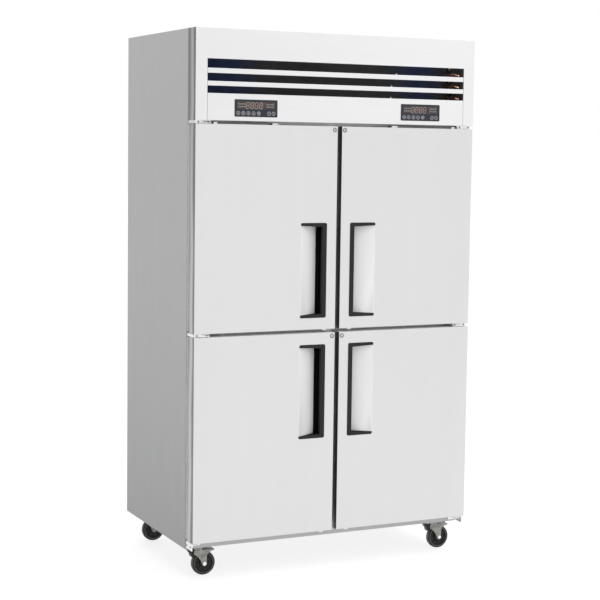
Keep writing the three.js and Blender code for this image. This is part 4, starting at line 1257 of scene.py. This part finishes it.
def add_floor():
    """White floor that glows, so that it renders nearly white and still takes soft shadows."""
    bm = bmesh.new()
    bmesh.ops.create_grid(bm, x_segments=8, y_segments=8, size=40)
    mesh = bpy.data.meshes.new("floor")
    bm.to_mesh(mesh)
    bm.free()
    floor = bpy.data.objects.new("floor", mesh)
    finish = uneven("studio_floor", (0.28, 0.28, 0.28), 0.0, 0.8, (1, 2, 0.985, 1.0),
                    Emission_Color=(1, 1, 1, 1), Emission_Strength=0.78)
    mesh.materials.append(finish.material)
    bpy.context.scene.collection.objects.link(floor)


def add_world():
    """White studio all round, with a soft grey flag on either side of the cabinet."""
    world = bpy.data.worlds.new("studio")
    bpy.context.scene.world = world
    world.use_nodes = True
    tree = world.node_tree
    background = tree.nodes["Background"]
    coordinates = tree.nodes.new("ShaderNodeTexCoord")
    split = tree.nodes.new("ShaderNodeSeparateXYZ")
    share = tree.nodes.new("ShaderNodeMapRange")
    share.inputs["From Min"].default_value = -1.0
    ramp = tree.nodes.new("ShaderNodeValToRGB")
    ramp.color_ramp.elements.new(0.55)
    ramp.color_ramp.elements.new(0.84)
    tones = [(0.125, 0.5), (0.55, 1.0), (0.84, 1.0), (0.91, 0.5)]
    for element, (position, grey) in zip(ramp.color_ramp.elements, tones):
        element.position = position
        element.color = (grey, grey, grey, 1)
    tree.links.new(coordinates.outputs["Generated"], split.inputs["Vector"])
    tree.links.new(split.outputs["X"], share.inputs["Value"])
    tree.links.new(share.outputs["Result"], ramp.inputs["Fac"])
    tree.links.new(ramp.outputs["Color"], background.inputs["Color"])
    background.inputs["Strength"].default_value = 1.0


def add_light(name, place, target, size, power):
    data = bpy.data.lights.new(name, "AREA")
    data.shape = "RECTANGLE"
    data.size, data.size_y = size
    data.energy = power
    light = bpy.data.objects.new(name, data)
    light.location = place
    aim = Vector(target) - Vector(place)
    light.rotation_euler = aim.to_track_quat("-Z", "Y").to_euler()
    bpy.context.scene.collection.objects.link(light)


def add_camera():
    """Long lens from the front left, a little above the middle, with the frame shifted."""
    place = (-2.497, -5.380, 1.552)
    yaw, pitch, roll = (math.radians(angle) for angle in (26.51, 5.11, 0.88))
    ahead = Vector((math.sin(yaw) * math.cos(pitch), math.cos(yaw) * math.cos(pitch),
                    -math.sin(pitch)))
    right = Vector((math.cos(yaw), -math.sin(yaw), 0))
    up = right.cross(ahead)
    rolled_right = right * math.cos(roll) + up * math.sin(roll)
    rolled_up = up * math.cos(roll) - right * math.sin(roll)
    data = bpy.data.cameras.new("camera")
    data.sensor_width = 36
    data.lens = 93.3
    data.shift_x = -0.0667
    data.shift_y = -0.025
    data.clip_end = 200
    camera = bpy.data.objects.new("camera", data)
    turn = Matrix((rolled_right, rolled_up, -ahead)).transposed().to_4x4()
    camera.matrix_world = Matrix.Translation(place) @ turn
    bpy.context.scene.collection.objects.link(camera)
    bpy.context.scene.camera = camera


# ---------------------------------------------------------------- assembly

add_camera()
add_world()
add_light("overhead", place=(0.5, -1.5, 5), target=(0, 0, 0), size=(6, 6), power=160)
add_floor()
bpy.context.scene.view_settings.view_transform = "Standard"

add_cabinet_shell()
add_back_panel()
for row, side in DOORS:
    add_door(row, side)
    add_corner_bumper(row, side)
for side in SIDES:
    add_closer(side)
    add_controller(side)
    add_evaporator(side)
    add_compressor(side)
    for level in ("lower", "middle", "upper"):
        add_shelf(side, level)
add_hinges()
add_condenser()
for row, side in CASTERS:
    add_caster(row, side)
